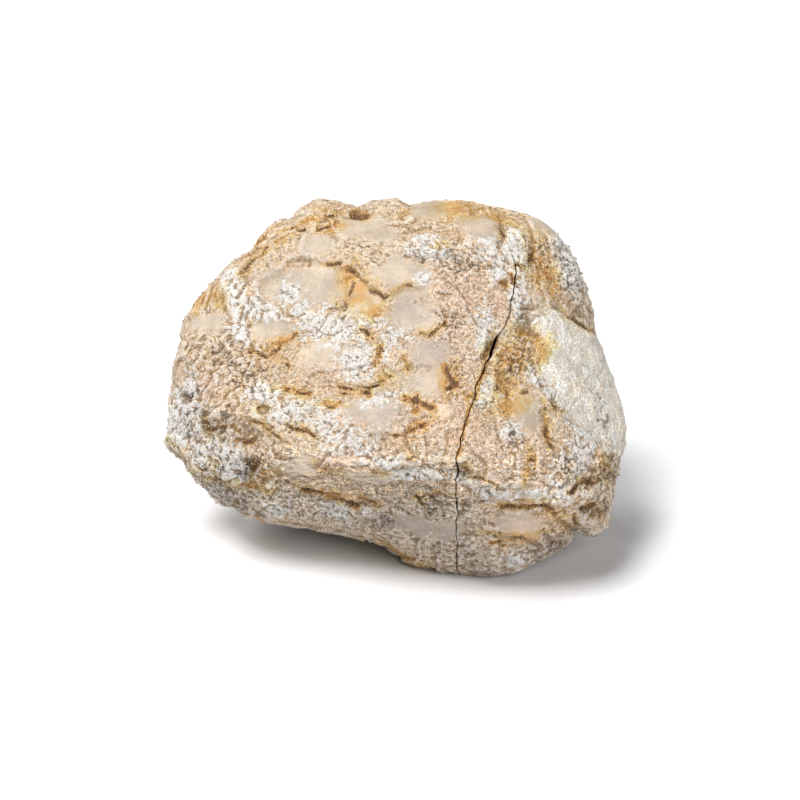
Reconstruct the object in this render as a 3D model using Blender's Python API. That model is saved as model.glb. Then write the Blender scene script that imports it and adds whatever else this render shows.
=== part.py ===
"""A closed calcite geode that has broken in two, standing on a small flat spot.

The stone is drawn as it is seen from its display side: 600 mm away and 24 degrees above the
table. Every drawn point is (across, up, near) in millimetres: across to the right, up in the
viewer's picture and near towards the viewer. to_frame() turns these into the stone's own
frame, +Z up and +X to the right, whose origin is on the table under the middle of the stone.
"""

import math
from itertools import product

import bmesh
import bpy
import numpy as np
from mathutils import Vector
from mathutils.geometry import delaunay_2d_cdt

MM = 0.001
SEED = 41

# The viewer that the stone is drawn for.
VIEW_ELEVATION = math.radians(24.0)
VIEW_DISTANCE = 600.0
CENTRE_HEIGHT = 33.6  # of the drawing's centre, above the table
CENTRE_SHIFT = (1.35, -1.3)  # puts the middle of the stone's box over the origin

# The stone's outline from the display side, anticlockwise from the left tip.
OUTLINE = [
    (-55.8, -10.3), (-53.2, -13.0), (-50.4, -14.6), (-47.4, -18.9), (-44.4, -22.0),
    (-40.9, -25.0), (-36.7, -27.0), (-32.2, -28.4), (-26.2, -28.5), (-21.0, -29.0),
    (-13.5, -30.6), (-7.0, -32.0), (-3.7, -33.9), (0.0, -36.8), (4.7, -39.3),
    (8.9, -40.9), (13.5, -41.6), (19.1, -41.6), (25.2, -41.2), (29.9, -39.6),
    (33.9, -37.4), (37.4, -34.8), (39.9, -33.2), (41.1, -30.6), (43.0, -31.6),
    (45.4, -30.4), (47.2, -28.4), (48.4, -26.0), (49.8, -22.2), (50.2, -18.2), (51.8, -14.5), (53.7, -10.5),
    (54.6, -6.5), (53.9, -1.2), (51.2, 3.5), (48.2, 9.3), (46.4, 14.5),
    (45.4, 20.5), (43.7, 26.0), (40.9, 32.7), (38.7, 36.7), (36.2, 40.6),
    (32.7, 43.0), (28.0, 44.0), (22.9, 45.2), (17.5, 46.0), (12.1, 46.0),
    (2.3, 45.4), (-1.2, 46.6), (-6.5, 46.1), (-10.3, 44.8), (-12.6, 45.9),
    (-15.2, 47.0), (-19.1, 46.5), (-23.4, 44.6), (-26.9, 42.7), (-31.5, 39.5),
    (-35.0, 35.3), (-38.5, 33.2), (-43.7, 28.0), (-46.7, 24.5), (-49.2, 20.8),
    (-50.6, 17.5), (-51.8, 12.4), (-53.0, 6.5), (-54.0, 1.9), (-54.4, -2.8),
    (-55.6, -6.5),
]
OUTLINE_TILT = -0.22  # how far the outline leans away from the viewer as it rises
HALF_DEPTH_NEAR = 45.0
HALF_DEPTH_FAR = 42.0
DOME_POWER = 2.35  # 2 is an ellipsoid, and more is boxier
FACET_SCALE = 40.0
FACET_ROUNDING = 0.045

# Broad faces: a point on each, and how far it comes nearer for each mm across and up.
NEAR_FACES = [
    (-11.7, -7.0, 30.5, 0.30, -0.40),  # big upper face
    (0.0, 36.2, 13.5, 0.05, -1.60),  # top
    (0.0, -18.7, 35.0, 0.30, 1.10),  # belt, left of the break
    (22.0, -22.0, 35.5, -0.40, 0.95),  # belt, right of the break
    (37.4, 0.0, 24.5, -1.45, -0.45),  # smooth face on the right
    (20.0, -12.0, 37.0, -0.45, -0.42),  # face between the break and the right ridge
    (35.0, 32.7, 8.0, -1.20, -0.90),  # upper right shoulder
    (-40.0, 28.0, 6.0, 0.90, -0.90),  # upper left shoulder
    (-47.0, -9.0, 12.5, 1.30, 0.10),  # left nose
    (-30.0, -24.0, 15.0, 0.45, 1.35),  # under the left nose
]
FAR_FACES = [
    (0.0, 8.0, -39.0, 0.10, 0.18),
    (-26.0, 22.0, -29.0, -0.75, 0.85),
    (24.0, 26.0, -31.0, 0.55, 0.95),
    (38.0, -2.0, -24.0, 1.40, 0.10),
    (-40.0, 0.0, -22.0, -1.20, -0.15),
    (-20.0, -18.0, -27.0, -0.45, -1.05),
    (16.0, -30.0, -22.0, 0.20, -1.10),
    (26.0, -36.0, -4.6, 0.74, -2.25),
    (10.0, -30.0, -21.5, 0.0, -1.28),
]

# Drawn on the display side. Grooves: half width, depth, then the line. A ridge has a negative
# depth.
GROOVES = [
    (0.9, 1.4, [(-38.5, 31.5), (-35.0, 34.6), (-32.0, 37.0), (-28.5, 38.8), (-24.5, 40.4)]),
    (0.9, 1.3, [(-19.0, 41.2), (-15.5, 42.2), (-11.0, 43.2)]),
    (1.0, 1.6, [(-11.3, 43.6), (-7.6, 43.9)]),
    (0.9, 1.2, [(0.6, 42.0), (2.2, 43.4)]),
    (1.9, -1.2, [(-40.0, 27.0), (-39.3, 22.5), (-38.0, 18.0), (-36.3, 13.5)]),
    (0.8, 1.3, [(-36.5, 12.8), (-34.0, 11.4), (-31.0, 9.8)]),
    (0.7, 1.1, [(-30.2, 11.6), (-28.0, 10.0), (-25.6, 7.8)]),
    (0.8, 1.2, [(-13.5, 2.2), (-11.0, 2.0), (-7.0, 2.6), (-4.9, 4.2), (-3.2, 5.6), (-4.0, 7.2)]),
    (0.9, 1.2, [(-5.4, 13.2), (-4.9, 11.0), (-5.3, 8.6)]),
    (0.8, 1.1, [(1.9, 11.6), (1.4, 8.0)]),
    (0.8, 1.2, [(4.5, 15.6), (7.0, 15.0), (9.6, 17.4)]),
    (1.1, 2.0, [(1.6, 0.6), (3.7, -0.5), (5.7, -1.5), (8.6, -2.7)]),
    (0.9, 1.5, [(3.7, -0.5), (3.5, -2.4)]),
    (1.0, 1.8, [(5.8, -5.6), (3.5, -7.1), (1.2, -8.1), (-1.2, -8.9)]),
    (1.2, 1.5, [(10.9, 6.8), (12.9, 4.2), (12.1, 1.7)]),
    (0.8, 1.2, [(16.2, 1.2), (17.5, 0.2)]),
    (0.8, 1.1, [(18.2, -1.2), (19.4, -3.7)]),
    (0.8, 1.2, [(-37.9, -9.3), (-35.3, -9.9), (-33.6, -8.6)]),
    (0.7, 0.9, [(-34.0, -4.7), (-32.0, -5.8), (-29.9, -7.5), (-27.8, -8.6)]),
    (0.9, 1.4, [(-26.4, -6.2), (-23.8, -7.3), (-21.4, -7.1), (-19.6, -8.8), (-18.0, -9.5)]),
    (1.0, 1.2, [(-13.2, -13.4), (-10.5, -13.9), (-7.4, -13.1)]),
    (0.8, 1.1, [(-20.7, -14.6), (-18.2, -15.7), (-15.2, -16.3), (-12.8, -17.0)]),
    (1.0, 1.5, [(-22.6, -21.4), (-18.7, -22.0), (-15.2, -22.7), (-11.7, -24.0), (-8.9, -25.0)]),
    (0.8, 0.9, [(-9.3, -23.2), (-5.0, -24.0), (-3.0, -22.9)]),
    (0.8, 0.8, [(-6.0, -17.1), (-3.0, -17.4)]),
    (0.8, 0.9, [(1.8, -14.0), (6.2, -14.1)]),
    (0.8, 0.9, [(7.8, -23.0), (9.4, -25.6), (10.8, -27.6)]),
    (0.8, 0.9, [(-19.0, -28.0), (-13.0, -29.0), (-8.0, -30.0)]),
    (1.1, 1.5, [(22.6, -24.6), (25.7, -25.1), (28.2, -25.0), (30.8, -24.6), (32.9, -23.9)]),
    (1.0, 1.5, [(32.9, -23.9), (34.3, -25.1), (35.7, -26.5), (38.4, -26.0)]),
    (0.8, 1.1, [(15.9, -17.6), (18.2, -18.5), (20.3, -19.0), (21.7, -20.1), (23.0, -20.4)]),
    (0.9, 1.4, [(24.8, -31.4), (28.0, -32.6), (30.0, -32.6), (31.9, -31.8), (34.1, -29.8)]),
    (0.9, 2.6, [(39.8, -21.3), (40.8, -19.7), (42.0, -18.8), (43.4, -18.5), (44.6, -20.0)]),
    (1.2, 2.0, [(40.2, -24.6), (43.0, -25.8), (46.0, -25.0)]),
    (1.3, 3.0, [(40.6, -26.8), (41.0, -29.5), (41.3, -34.0)]),
    (1.7, -1.5, [(28.0, 9.2), (30.4, 5.9), (31.6, 3.4), (34.0, 1.2), (37.4, -3.5)]),
    (1.6, -1.2, [(37.4, -3.5), (40.2, -5.8), (44.4, -8.4), (46.9, -11.8)]),
    (0.8, 1.4, [(33.2, -1.7), (34.0, -5.8), (34.3, -8.5), (35.4, -10.2)]),
    (1.3, -1.0, [(26.8, 25.6), (27.8, 21.4), (26.9, 18.6)]),
    (3.2, 1.1, [(30.8, 37.4), (32.6, 33.2), (33.9, 29.8), (35.4, 26.6)]),
    (0.9, 1.2, [(28.6, 38.6), (29.3, 35.0), (30.1, 32.0)]),
    (1.0, 1.5, [(8.7, 35.6), (11.0, 35.3)]),
]
# Steps: height and reach, then the line, whose left-hand side is the higher one.
STEPS = [
    (1.1, 5.0, [(-34.5, 24.5), (-32.5, 27.6), (-28.5, 29.4), (-25.5, 32.6), (-20.5, 33.2),
                (-14.0, 31.6), (-11.2, 31.0), (-9.0, 28.6), (-7.4, 27.2), (-4.2, 25.0),
                (-1.6, 24.4), (0.6, 25.8), (4.2, 26.4), (7.0, 25.8)]),
    (1.0, 4.0, [(-4.0, 36.0), (4.7, 35.4), (7.0, 37.2), (10.4, 35.2), (17.0, 35.1),
                (27.0, 34.6)]),
    (1.8, 3.5, [(-53.5, -11.8), (-49.4, -12.6), (-46.6, -16.6), (-43.2, -18.4),
                (-38.6, -20.0), (-36.0, -19.4)]),
    (0.9, 4.0, [(-13.0, 3.0), (-8.0, 2.9), (-4.4, 4.6), (-2.6, 6.4)]),
    (1.0, 4.0, [(-24.0, -14.0), (-17.4, -16.0), (-9.0, -17.4), (-1.0, -15.6), (6.0, -14.8),
                (13.0, -14.4)]),
    (0.9, 3.5, [(-11.0, -7.6), (-6.0, -8.2), (0.0, -8.4)]),
    (1.0, 4.5, [(16.5, -18.4), (22.0, -22.4), (28.0, -24.4), (33.0, -23.4), (36.0, -25.6),
                (41.0, -24.4)]),
    (1.0, 4.0, [(24.6, -31.8), (28.0, -33.0), (32.0, -32.2), (34.6, -29.6)]),
    (1.3, 5.0, [(47.6, -12.4), (44.6, -8.8), (40.4, -6.2), (37.8, -4.0), (34.4, 0.8),
                (32.0, 3.2), (30.8, 6.0), (28.4, 9.6)]),
    (1.5, 5.0, [(46.4, 13.8), (43.9, 15.6), (41.6, 18.0), (39.2, 19.5), (36.6, 20.8),
                (33.8, 21.0)]),
]
# Lumps: middle, half sizes, turn in degrees, edge sharpness and height. A hollow is negative.
LUMPS = [
    (-45.0, -9.5, 9.0, 8.5, -25, 3, 1.3),  # white block at the lower left
    (-35.6, -15.8, 2.9, 2.6, 20, 2, -2.2),
    (-24.0, 20.5, 14.5, 9.5, -8, 3, -0.9),  # big calcite window
    (-12.0, 15.5, 11.0, 5.0, 14, 2, 0.8),
    (-33.0, 22.0, 4.5, 5.0, 0, 2, 0.5),
    (-13.0, 8.2, 8.0, 4.6, -4, 2, 0.8),
    (-2.5, 31.0, 7.0, 4.6, 8, 3, 0.6),
    (3.0, 19.4, 6.2, 4.8, -12, 2, -0.7),
    (6.8, 11.6, 5.2, 4.0, 0, 2, 0.7),
    (-4.7, -4.2, 9.4, 5.4, 4, 3, 1.0),  # white oval
    (-15.5, -9.0, 5.0, 6.0, 10, 2, 1.0),
    (-5.0, -15.0, 7.0, 2.6, 4, 2, 0.7),
    (4.6, -4.1, 2.0, 1.8, 0, 2, -0.9),
    (-28.5, -2.0, 6.0, 4.4, 10, 2, 0.9),
    (-33.0, -9.0, 5.0, 4.0, 0, 2, -0.5),
    (-43.5, 17.6, 4.2, 3.4, 30, 2, -0.5),
    (-20.5, 45.0, 5.6, 3.0, -14, 2, 1.0),
    (-29.0, 41.0, 3.0, 2.2, 35, 2, 0.6),
    (-3.5, 45.4, 4.6, 2.2, 0, 2, 0.7),
    (12.0, 44.4, 8.4, 3.0, 0, 2, 0.5),
    (19.0, 38.8, 4.8, 3.6, 0, 4, 1.1),  # smooth plate by the break, left of it
    (26.8, 35.0, 2.6, 4.2, 8, 4, 1.5),  # white block, right of the break
    (24.6, 26.8, 2.0, 2.0, 0, 2, -1.0),
    (30.4, 18.6, 3.4, 4.4, 10, 2, -1.3),
    (24.6, 4.0, 2.2, 2.9, 0, 2, -1.3),
    (21.2, 2.2, 2.4, 2.0, 30, 2, 0.8),
    (30.0, -4.5, 3.4, 6.4, 10, 2, 0.8),
    (27.0, -12.0, 7.0, 5.6, 0, 2, 0.6),
    (43.4, -4.0, 9.0, 4.0, -40, 2, -0.6),
    (38.8, -14.5, 4.4, 4.0, 0, 2, 0.9),
    (38.5, -22.0, 4.0, 2.6, 20, 2, 1.2),
    (27.6, -29.0, 5.4, 3.6, 0, 3, 1.1),
    (44.6, -22.2, 3.0, 2.2, 0, 2, 1.1),
    (44.9, -28.0, 3.4, 3.6, 0, 2, 1.6),  # knob
    (22.0, -37.0, 9.0, 3.0, 5, 2, 0.8),
    (36.0, -33.0, 4.0, 2.4, 35, 2, 0.7),
    (2.0, -31.0, 8.0, 5.0, -20, 2, -0.5),
    (-45.3, -3.6, 1.3, 1.3, 0, 2, -1.6),
    (-44.6, -6.6, 1.3, 1.6, 0, 2, -1.7),
    (-32.0, -2.4, 1.5, 1.2, 0, 2, -1.4),
    (-49.8, 0.4, 1.0, 1.4, 0, 2, -1.2),
    (-54.4, -10.4, 2.0, 1.8, 0, 2, 0.6),
    (21.0, 12.3, 1.2, 3.0, -22, 2, -1.5),  # chip off the larger piece's edge
    (14.9, -16.8, 1.7, 1.9, 0, 2, -1.2),  # chips off the smaller piece's edge
    (15.1, -24.4, 1.6, 1.8, 0, 3, -0.5),
    (15.5, -30.4, 1.6, 1.7, 0, 3, -0.5),
]

# The break, from the bottom of the display side to its top: (up, across).
BREAK_LINE = [
    (-41.6, 13.5), (-34.0, 13.2), (-26.9, 13.5), (-22.0, 12.9), (-17.3, 13.1), (-13.1, 13.3),
    (-7.9, 14.7), (-2.8, 16.1), (0.7, 17.3), (5.0, 18.6), (9.3, 20.5), (14.5, 22.6),
    (18.2, 25.2), (24.3, 26.4), (30.4, 27.1), (33.6, 26.4), (39.5, 24.3), (46.0, 23.1),
]
BREAK_GAP = 0.4
BASE_FLATNESS = 0.3  # what is lower than this is cut to the flat spot
# Chips off the smaller piece's edge at the display side: up, half length and set-back.
CHIPS = [(12.0, 2.6, 0.6), (-16.4, 1.8, 0.4), (29.4, 1.6, 0.5), (39.0, 1.8, 0.7), (-24.6, 1.4, 0.3)]

STONE_TRIANGLES = 7900
SPHERE_STEPS = 62  # along each edge of the cube that the stone's skin is spread from
BREAK_FACE_STEP = 6.0

CALCITE_CRUST = (0.72, 0.60, 0.46)
CALCITE_CRUST_PALE = (0.76, 0.66, 0.53)


def to_frame(points):
    """Drawn points (across, up, near) to the stone's frame, both in millimetres."""
    across, up, near = points.T
    shrink = 1 - near / VIEW_DISTANCE
    cos, sin = math.cos(VIEW_ELEVATION), math.sin(VIEW_ELEVATION)
    x = across * shrink + CENTRE_SHIFT[0]
    y = -near * cos + up * shrink * sin + CENTRE_SHIFT[1]
    z = near * sin + up * shrink * cos + CENTRE_HEIGHT
    return np.stack([x, y, z], axis=1)


def break_across(y, z):
    """The break's x in the stone's frame, at each y and z."""
    cos, sin = math.cos(VIEW_ELEVATION), math.sin(VIEW_ELEVATION)
    y = y - CENTRE_SHIFT[1]
    z = z - CENTRE_HEIGHT
    near = z * sin - y * cos
    shrink = 1 - near / VIEW_DISTANCE
    up = (y * sin + z * cos) / shrink
    ups, acrosses = np.array(BREAK_LINE).T
    across = np.interp(up, ups, acrosses)
    depth = np.clip((24 - near) / 60, 0, 1)
    sheet = np.stack([np.zeros_like(up), up, near], axis=1)
    across += depth * (2.4 * swell(sheet, 17, SEED + 30) - 3.0 * depth)
    across += np.minimum(depth * 4, 1) * 0.7 * swell(sheet, 6, SEED + 31)
    return across * shrink + CENTRE_SHIFT[0], up, near


def outline_radius(angle):
    """The outline's distance from its centre in each direction."""
    corners = np.array(OUTLINE)
    corner_angle = np.arctan2(corners[:, 1], corners[:, 0])
    order = np.argsort(corner_angle)
    radius = np.hypot(corners[:, 0], corners[:, 1])[order]
    return np.interp(angle, corner_angle[order], radius, period=2 * math.pi)


def fullness(points):
    """1 on the smooth stone's surface, less inside it and more outside."""
    across, up, near = points.T
    reach = np.hypot(across, up) / outline_radius(np.arctan2(up, across))
    depth = near - OUTLINE_TILT * up
    half_depth = np.where(depth > 0, HALF_DEPTH_NEAR, HALF_DEPTH_FAR)
    dome = (reach**DOME_POWER + np.abs(depth / half_depth) ** DOME_POWER) ** (1 / DOME_POWER)
    terms = [dome]
    for faces, side in ((NEAR_FACES, 1), (FAR_FACES, -1)):
        for at_across, at_up, at_near, by_across, by_up in faces:
            face = at_near + by_across * (across - at_across) + by_up * (up - at_up)
            slope = math.sqrt(1 + by_across**2 + by_up**2)
            terms.append(1 + side * (near - face) / (FACET_SCALE * slope))
    top = np.max(terms, axis=0)
    total = sum(np.exp((term - top) / FACET_ROUNDING) for term in terms)
    return top + FACET_ROUNDING * np.log(total)


def surface_points(directions):
    """Where each ray from the drawing's centre leaves the smooth stone."""
    low = np.zeros(len(directions))
    high = np.full(len(directions), 90.0)
    for _ in range(22):
        middle = (low + high) / 2
        inside = fullness(directions * middle[:, None]) < 1
        low = np.where(inside, middle, low)
        high = np.where(inside, high, middle)
    return directions * low[:, None]


def outward(points):
    """The smooth surface's unit normals."""
    base = fullness(points)
    slopes = [fullness(points + step) - base for step in np.eye(3) * 0.5]
    normal = np.stack(slopes, axis=1)
    return normal / np.linalg.norm(normal, axis=1)[:, None]


def swell(points, size, seed):
    """Smooth random rises and falls from about -1 to 1, `size` mm apart."""
    rng = np.random.default_rng(seed)
    slopes = rng.normal(size=(256, 3))
    slopes /= np.linalg.norm(slopes, axis=1)[:, None]
    order = rng.permutation(256)
    at = points / size + rng.uniform(0, 64, 3)
    cell = np.floor(at).astype(int)
    part = at - cell
    ease = part**3 * (part * (part * 6 - 15) + 10)
    total = np.zeros(len(points))
    for step in product((0, 1), repeat=3):
        i, j, k = (cell + step).T
        slope = slopes[order[(order[(order[i & 255] + j) & 255] + k) & 255]]
        weight = np.prod(np.where(step, ease, 1 - ease), axis=1)
        total += weight * np.einsum("ij,ij->i", part - step, slope)
    return total * 1.6


def smooth_step(value, low, high):
    """0 below `low`, 1 above `high` and a smooth rise between."""
    part = np.clip((value - low) / (high - low), 0, 1)
    return part * part * (3 - 2 * part)


def line_distance(across, up, line):
    """Distance to a drawn line, and the side: 1 on its left and -1 on its right."""
    nearest = np.full(len(across), np.inf)
    side = np.ones(len(across))
    for (x0, y0), (x1, y1) in zip(line, line[1:]):
        dx, dy = x1 - x0, y1 - y0
        along = ((across - x0) * dx + (up - y0) * dy) / (dx * dx + dy * dy)
        along = np.clip(along, 0, 1)
        off_x, off_y = across - x0 - along * dx, up - y0 - along * dy
        distance = np.hypot(off_x, off_y)
        closer = distance < nearest
        nearest = np.where(closer, distance, nearest)
        side = np.where(closer, np.sign(dx * off_y - dy * off_x + 1e-9), side)
    return nearest, side


def end_fade(across, up, line, length):
    """1 along a drawn line, and down to 0 at and beyond its two ends."""
    (x0, y0), (x1, y1) = line[0], line[-1]
    first = np.hypot(across - x0, up - y0)
    last = np.hypot(across - x1, up - y1)
    return smooth_step(np.minimum(first, last), 0, length)


def drawn_relief(points):
    """Height, in millimetres, of the grooves, steps and lumps of the display side."""
    wander = 0.8 * swell(points, 5, SEED + 1) + 0.4 * swell(points, 2.2, SEED + 2)
    stray = 0.8 * swell(points, 5, SEED + 3) + 0.4 * swell(points, 2.2, SEED + 4)
    across, up = points[:, 0] + wander, points[:, 1] + stray
    height = np.zeros(len(points))
    for half_width, depth, line in GROOVES:
        distance, _ = line_distance(across, up, line)
        height -= depth * np.exp(-((distance / half_width) ** 2))
    for rise, reach, line in STEPS:
        distance, side = line_distance(across, up, line)
        shape = np.tanh(side * distance / 0.5) * np.exp(-distance / reach)
        height += rise * shape * end_fade(across, up, line, 3)
    for middle_x, middle_y, half_x, half_y, turn, sharpness, rise in LUMPS:
        cos, sin = math.cos(math.radians(turn)), math.sin(math.radians(turn))
        dx, dy = across - middle_x, up - middle_y
        long, short = (dx * cos + dy * sin) / half_x, (dy * cos - dx * sin) / half_y
        height += rise * np.exp(-(np.hypot(long, short) ** (2 * sharpness)))
    facing = smooth_step(points[:, 2] - OUTLINE_TILT * points[:, 1], -5, 1)
    return height * facing, facing


def rough_relief(points):
    """Height, in millimetres, of the lumps, terraces and cracks that are all over the stone."""
    height = 1.1 * swell(points, 21, SEED + 10) + 0.8 * swell(points, 9, SEED + 11)
    from_rim = (points[:, 2] - OUTLINE_TILT * points[:, 1]) / 9
    height *= 1 - 0.8 * np.exp(-(from_rim**2))
    height += 0.35 * swell(points, 4.5, SEED + 12)
    level = 2.6 * swell(points, 24, SEED + 13) + 0.3 * swell(points, 5, SEED + 14)
    terrace = np.floor(level) + smooth_step(level - np.floor(level), 0.42, 0.58) - level
    height += 1.5 * terrace
    crack = swell(points, 16, SEED + 15) + 0.15 * swell(points, 4, SEED + 16)
    open_here = smooth_step(swell(points, 19, SEED + 17), 0.0, 0.25)
    height -= 1.2 * open_here * np.exp(-((crack / 0.05) ** 2))
    return height


def stone_points(directions):
    """The stone's skin in the drawing, one point for each ray from the drawing's centre."""
    points = surface_points(directions)
    drawn, facing = drawn_relief(points)
    height = drawn + rough_relief(points) * (1 - 0.55 * facing)
    return points + outward(points) * height[:, None]


def cube_sphere(steps):
    """Unit vectors and quads of a cube's grid blown up to a ball."""
    mesh = bmesh.new()
    bmesh.ops.create_cube(mesh, size=2)
    bmesh.ops.subdivide_edges(mesh, edges=mesh.edges[:], cuts=steps - 1, use_grid_fill=True)
    corners = np.array([vert.co for vert in mesh.verts])
    quads = [[vert.index for vert in face.verts] for face in mesh.faces]
    mesh.free()
    corners = np.tan(corners * (math.pi / 4))
    return corners / np.linalg.norm(corners, axis=1)[:, None], quads


def whole_stone():
    """The stone before it broke, as an object in the frame, in millimetres."""
    directions, quads = cube_sphere(SPHERE_STEPS)
    corners = to_frame(stone_points(directions))
    corners[:, 2] = np.maximum(corners[:, 2], 0)
    mesh = bpy.data.meshes.new("whole")
    mesh.from_pydata(corners.tolist(), [], quads)
    whole = bpy.data.objects.new("whole", mesh)
    bpy.context.collection.objects.link(whole)
    thin = whole.modifiers.new("thin", "DECIMATE")
    thin.use_collapse_triangulate = True
    thin.ratio = STONE_TRIANGLES / (2 * len(quads))
    return whole


def taken_mesh(whole):
    """The whole stone's thinned mesh, with the object gone."""
    graph = bpy.context.evaluated_depsgraph_get()
    mesh = bpy.data.meshes.new_from_object(whole.evaluated_get(graph))
    bpy.data.objects.remove(whole)
    return mesh


def fill_break(mesh, cut_edges):
    """Close the cut, at x = 0, with an even sheet of triangles."""
    rim = list({vert for edge in cut_edges for vert in edge.verts})
    number = {vert: index for index, vert in enumerate(rim)}
    flat = [Vector((vert.co.y, vert.co.z)) for vert in rim]
    edges = [tuple(number[vert] for vert in edge.verts) for edge in cut_edges]
    rim_points = np.array(flat)
    low, high = rim_points.min(axis=0), rim_points.max(axis=0)
    rows = np.arange(low[1], high[1], BREAK_FACE_STEP * 0.87)
    for count, row in enumerate(rows):
        start = low[0] + BREAK_FACE_STEP * (0.5 if count % 2 else 0.0)
        for place in np.arange(start, high[0], BREAK_FACE_STEP):
            if np.hypot(*(rim_points - (place, row)).T).min() > BREAK_FACE_STEP * 0.45:
                flat.append(Vector((place, row)))
    points, _, faces, sources, _, _ = delaunay_2d_cdt(flat, edges, [], 1, 1e-5)
    corners = {}
    for face in faces:
        for index in face:
            if index not in corners:
                old = [source for source in sources[index] if source < len(rim)]
                y, z = points[index]
                corners[index] = rim[old[0]] if old else mesh.verts.new((0, y, z))
        mesh.faces.new([corners[index] for index in face])
    bmesh.ops.recalc_face_normals(mesh, faces=mesh.faces[:])


def chip_depth(up, near):
    """How far the smaller piece's edge is set back."""
    depth = np.zeros_like(up)
    for middle, half_length, set_back in CHIPS:
        depth += set_back * np.exp(-(((up - middle) / half_length) ** 4))
    return depth * smooth_step(near, 12, 20)


def make_piece(name, whole_mesh, side, colour):
    """One piece: what is left (side -1) or right (side 1) of the break."""
    mesh = bmesh.new()
    mesh.from_mesh(whole_mesh)
    corners = np.array([vert.co for vert in mesh.verts])
    across, _, _ = break_across(corners[:, 1], corners[:, 2])
    for vert, shift in zip(mesh.verts, across):
        vert.co.x -= shift
    geometry = mesh.verts[:] + mesh.edges[:] + mesh.faces[:]
    cut = bmesh.ops.bisect_plane(
        mesh, geom=geometry, dist=1e-5, plane_co=(0, 0, 0), plane_no=(side, 0, 0),
        clear_inner=True)
    cut_edges = [item for item in cut["geom_cut"] if isinstance(item, bmesh.types.BMEdge)]
    fill_break(mesh, cut_edges)
    corners = np.array([vert.co for vert in mesh.verts])
    across, up, near = break_across(corners[:, 1], corners[:, 2])
    back = BREAK_GAP / 2
    if side > 0:
        back = back + chip_depth(up, near) * np.exp(-corners[:, 0] / 1.5)
    corners[:, 0] += across + side * back
    corners[:, 2] = np.where(corners[:, 2] < BASE_FLATNESS, 0, corners[:, 2])
    for vert, corner in zip(mesh.verts, corners):
        vert.co = Vector(corner) * MM
    bmesh.ops.triangulate(mesh, faces=mesh.faces[:])
    data = bpy.data.meshes.new(name)
    mesh.to_mesh(data)
    mesh.free()
    data.materials.append(stone_material(name, colour))
    piece = bpy.data.objects.new(name, data)
    bpy.context.collection.objects.link(piece)


def stone_material(name, colour):
    """A plain matt stone."""
    material = bpy.data.materials.new(name)
    material.use_nodes = True
    shader = material.node_tree.nodes["Principled BSDF"]
    shader.inputs["Base Color"].default_value = (*colour, 1)
    shader.inputs["Roughness"].default_value = 0.85
    return material


def build():
    for item in list(bpy.data.objects):
        bpy.data.objects.remove(item)
    whole_mesh = taken_mesh(whole_stone())
    make_piece("larger_piece", whole_mesh, -1, CALCITE_CRUST)
    make_piece("smaller_piece", whole_mesh, 1, CALCITE_CRUST_PALE)
    bpy.data.meshes.remove(whole_mesh)


build()
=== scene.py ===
"""The looks of a broken calcite geode: its crust of sugary grains, smooth calcite windows, white
chalky patches and rust stains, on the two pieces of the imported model.

The stone is drawn as it is seen from its display side: 600 mm away and 24 degrees above the
table. Every drawn point is (across, up, near) in millimetres: across to the right, up in the
viewer's picture and near towards the viewer. to_frame() turns these into the frame, in
millimetres, and only the finished meshes are in metres.
"""

import math
from itertools import product
from types import SimpleNamespace

import bmesh
import bpy
import numpy as np
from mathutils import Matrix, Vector, noise
from mathutils.geometry import delaunay_2d_cdt


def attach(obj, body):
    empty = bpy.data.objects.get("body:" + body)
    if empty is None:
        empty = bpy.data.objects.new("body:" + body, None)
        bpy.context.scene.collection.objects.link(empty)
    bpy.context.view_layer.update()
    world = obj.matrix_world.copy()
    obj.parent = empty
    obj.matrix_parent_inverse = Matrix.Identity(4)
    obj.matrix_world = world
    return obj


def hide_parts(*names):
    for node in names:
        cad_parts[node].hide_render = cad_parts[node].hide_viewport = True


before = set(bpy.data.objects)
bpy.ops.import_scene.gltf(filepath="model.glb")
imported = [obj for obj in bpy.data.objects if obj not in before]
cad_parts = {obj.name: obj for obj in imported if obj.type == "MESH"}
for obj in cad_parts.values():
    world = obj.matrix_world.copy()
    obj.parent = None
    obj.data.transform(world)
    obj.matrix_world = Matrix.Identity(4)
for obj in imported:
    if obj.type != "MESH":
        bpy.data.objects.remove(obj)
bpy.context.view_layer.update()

MM = 0.001
SEED = 41  # the random patterns that the solids have too are numbered from this

# The viewer that the stone is drawn for.
VIEW_ELEVATION = math.radians(24.0)
VIEW_COS, VIEW_SIN = math.cos(VIEW_ELEVATION), math.sin(VIEW_ELEVATION)
VIEW_DISTANCE = 600.0
VIEW_WIDTH = 186.8  # of the picture, at the drawing's centre
SENSOR_WIDTH = 36.0  # of the camera
CENTRE_HEIGHT = 33.6  # of the drawing's centre, above the table
CENTRE_SHIFT = (1.35, -1.3)  # puts the middle of the stone's box over the origin
VIEW_CENTRE = Vector((*CENTRE_SHIFT, CENTRE_HEIGHT)) * MM

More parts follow.
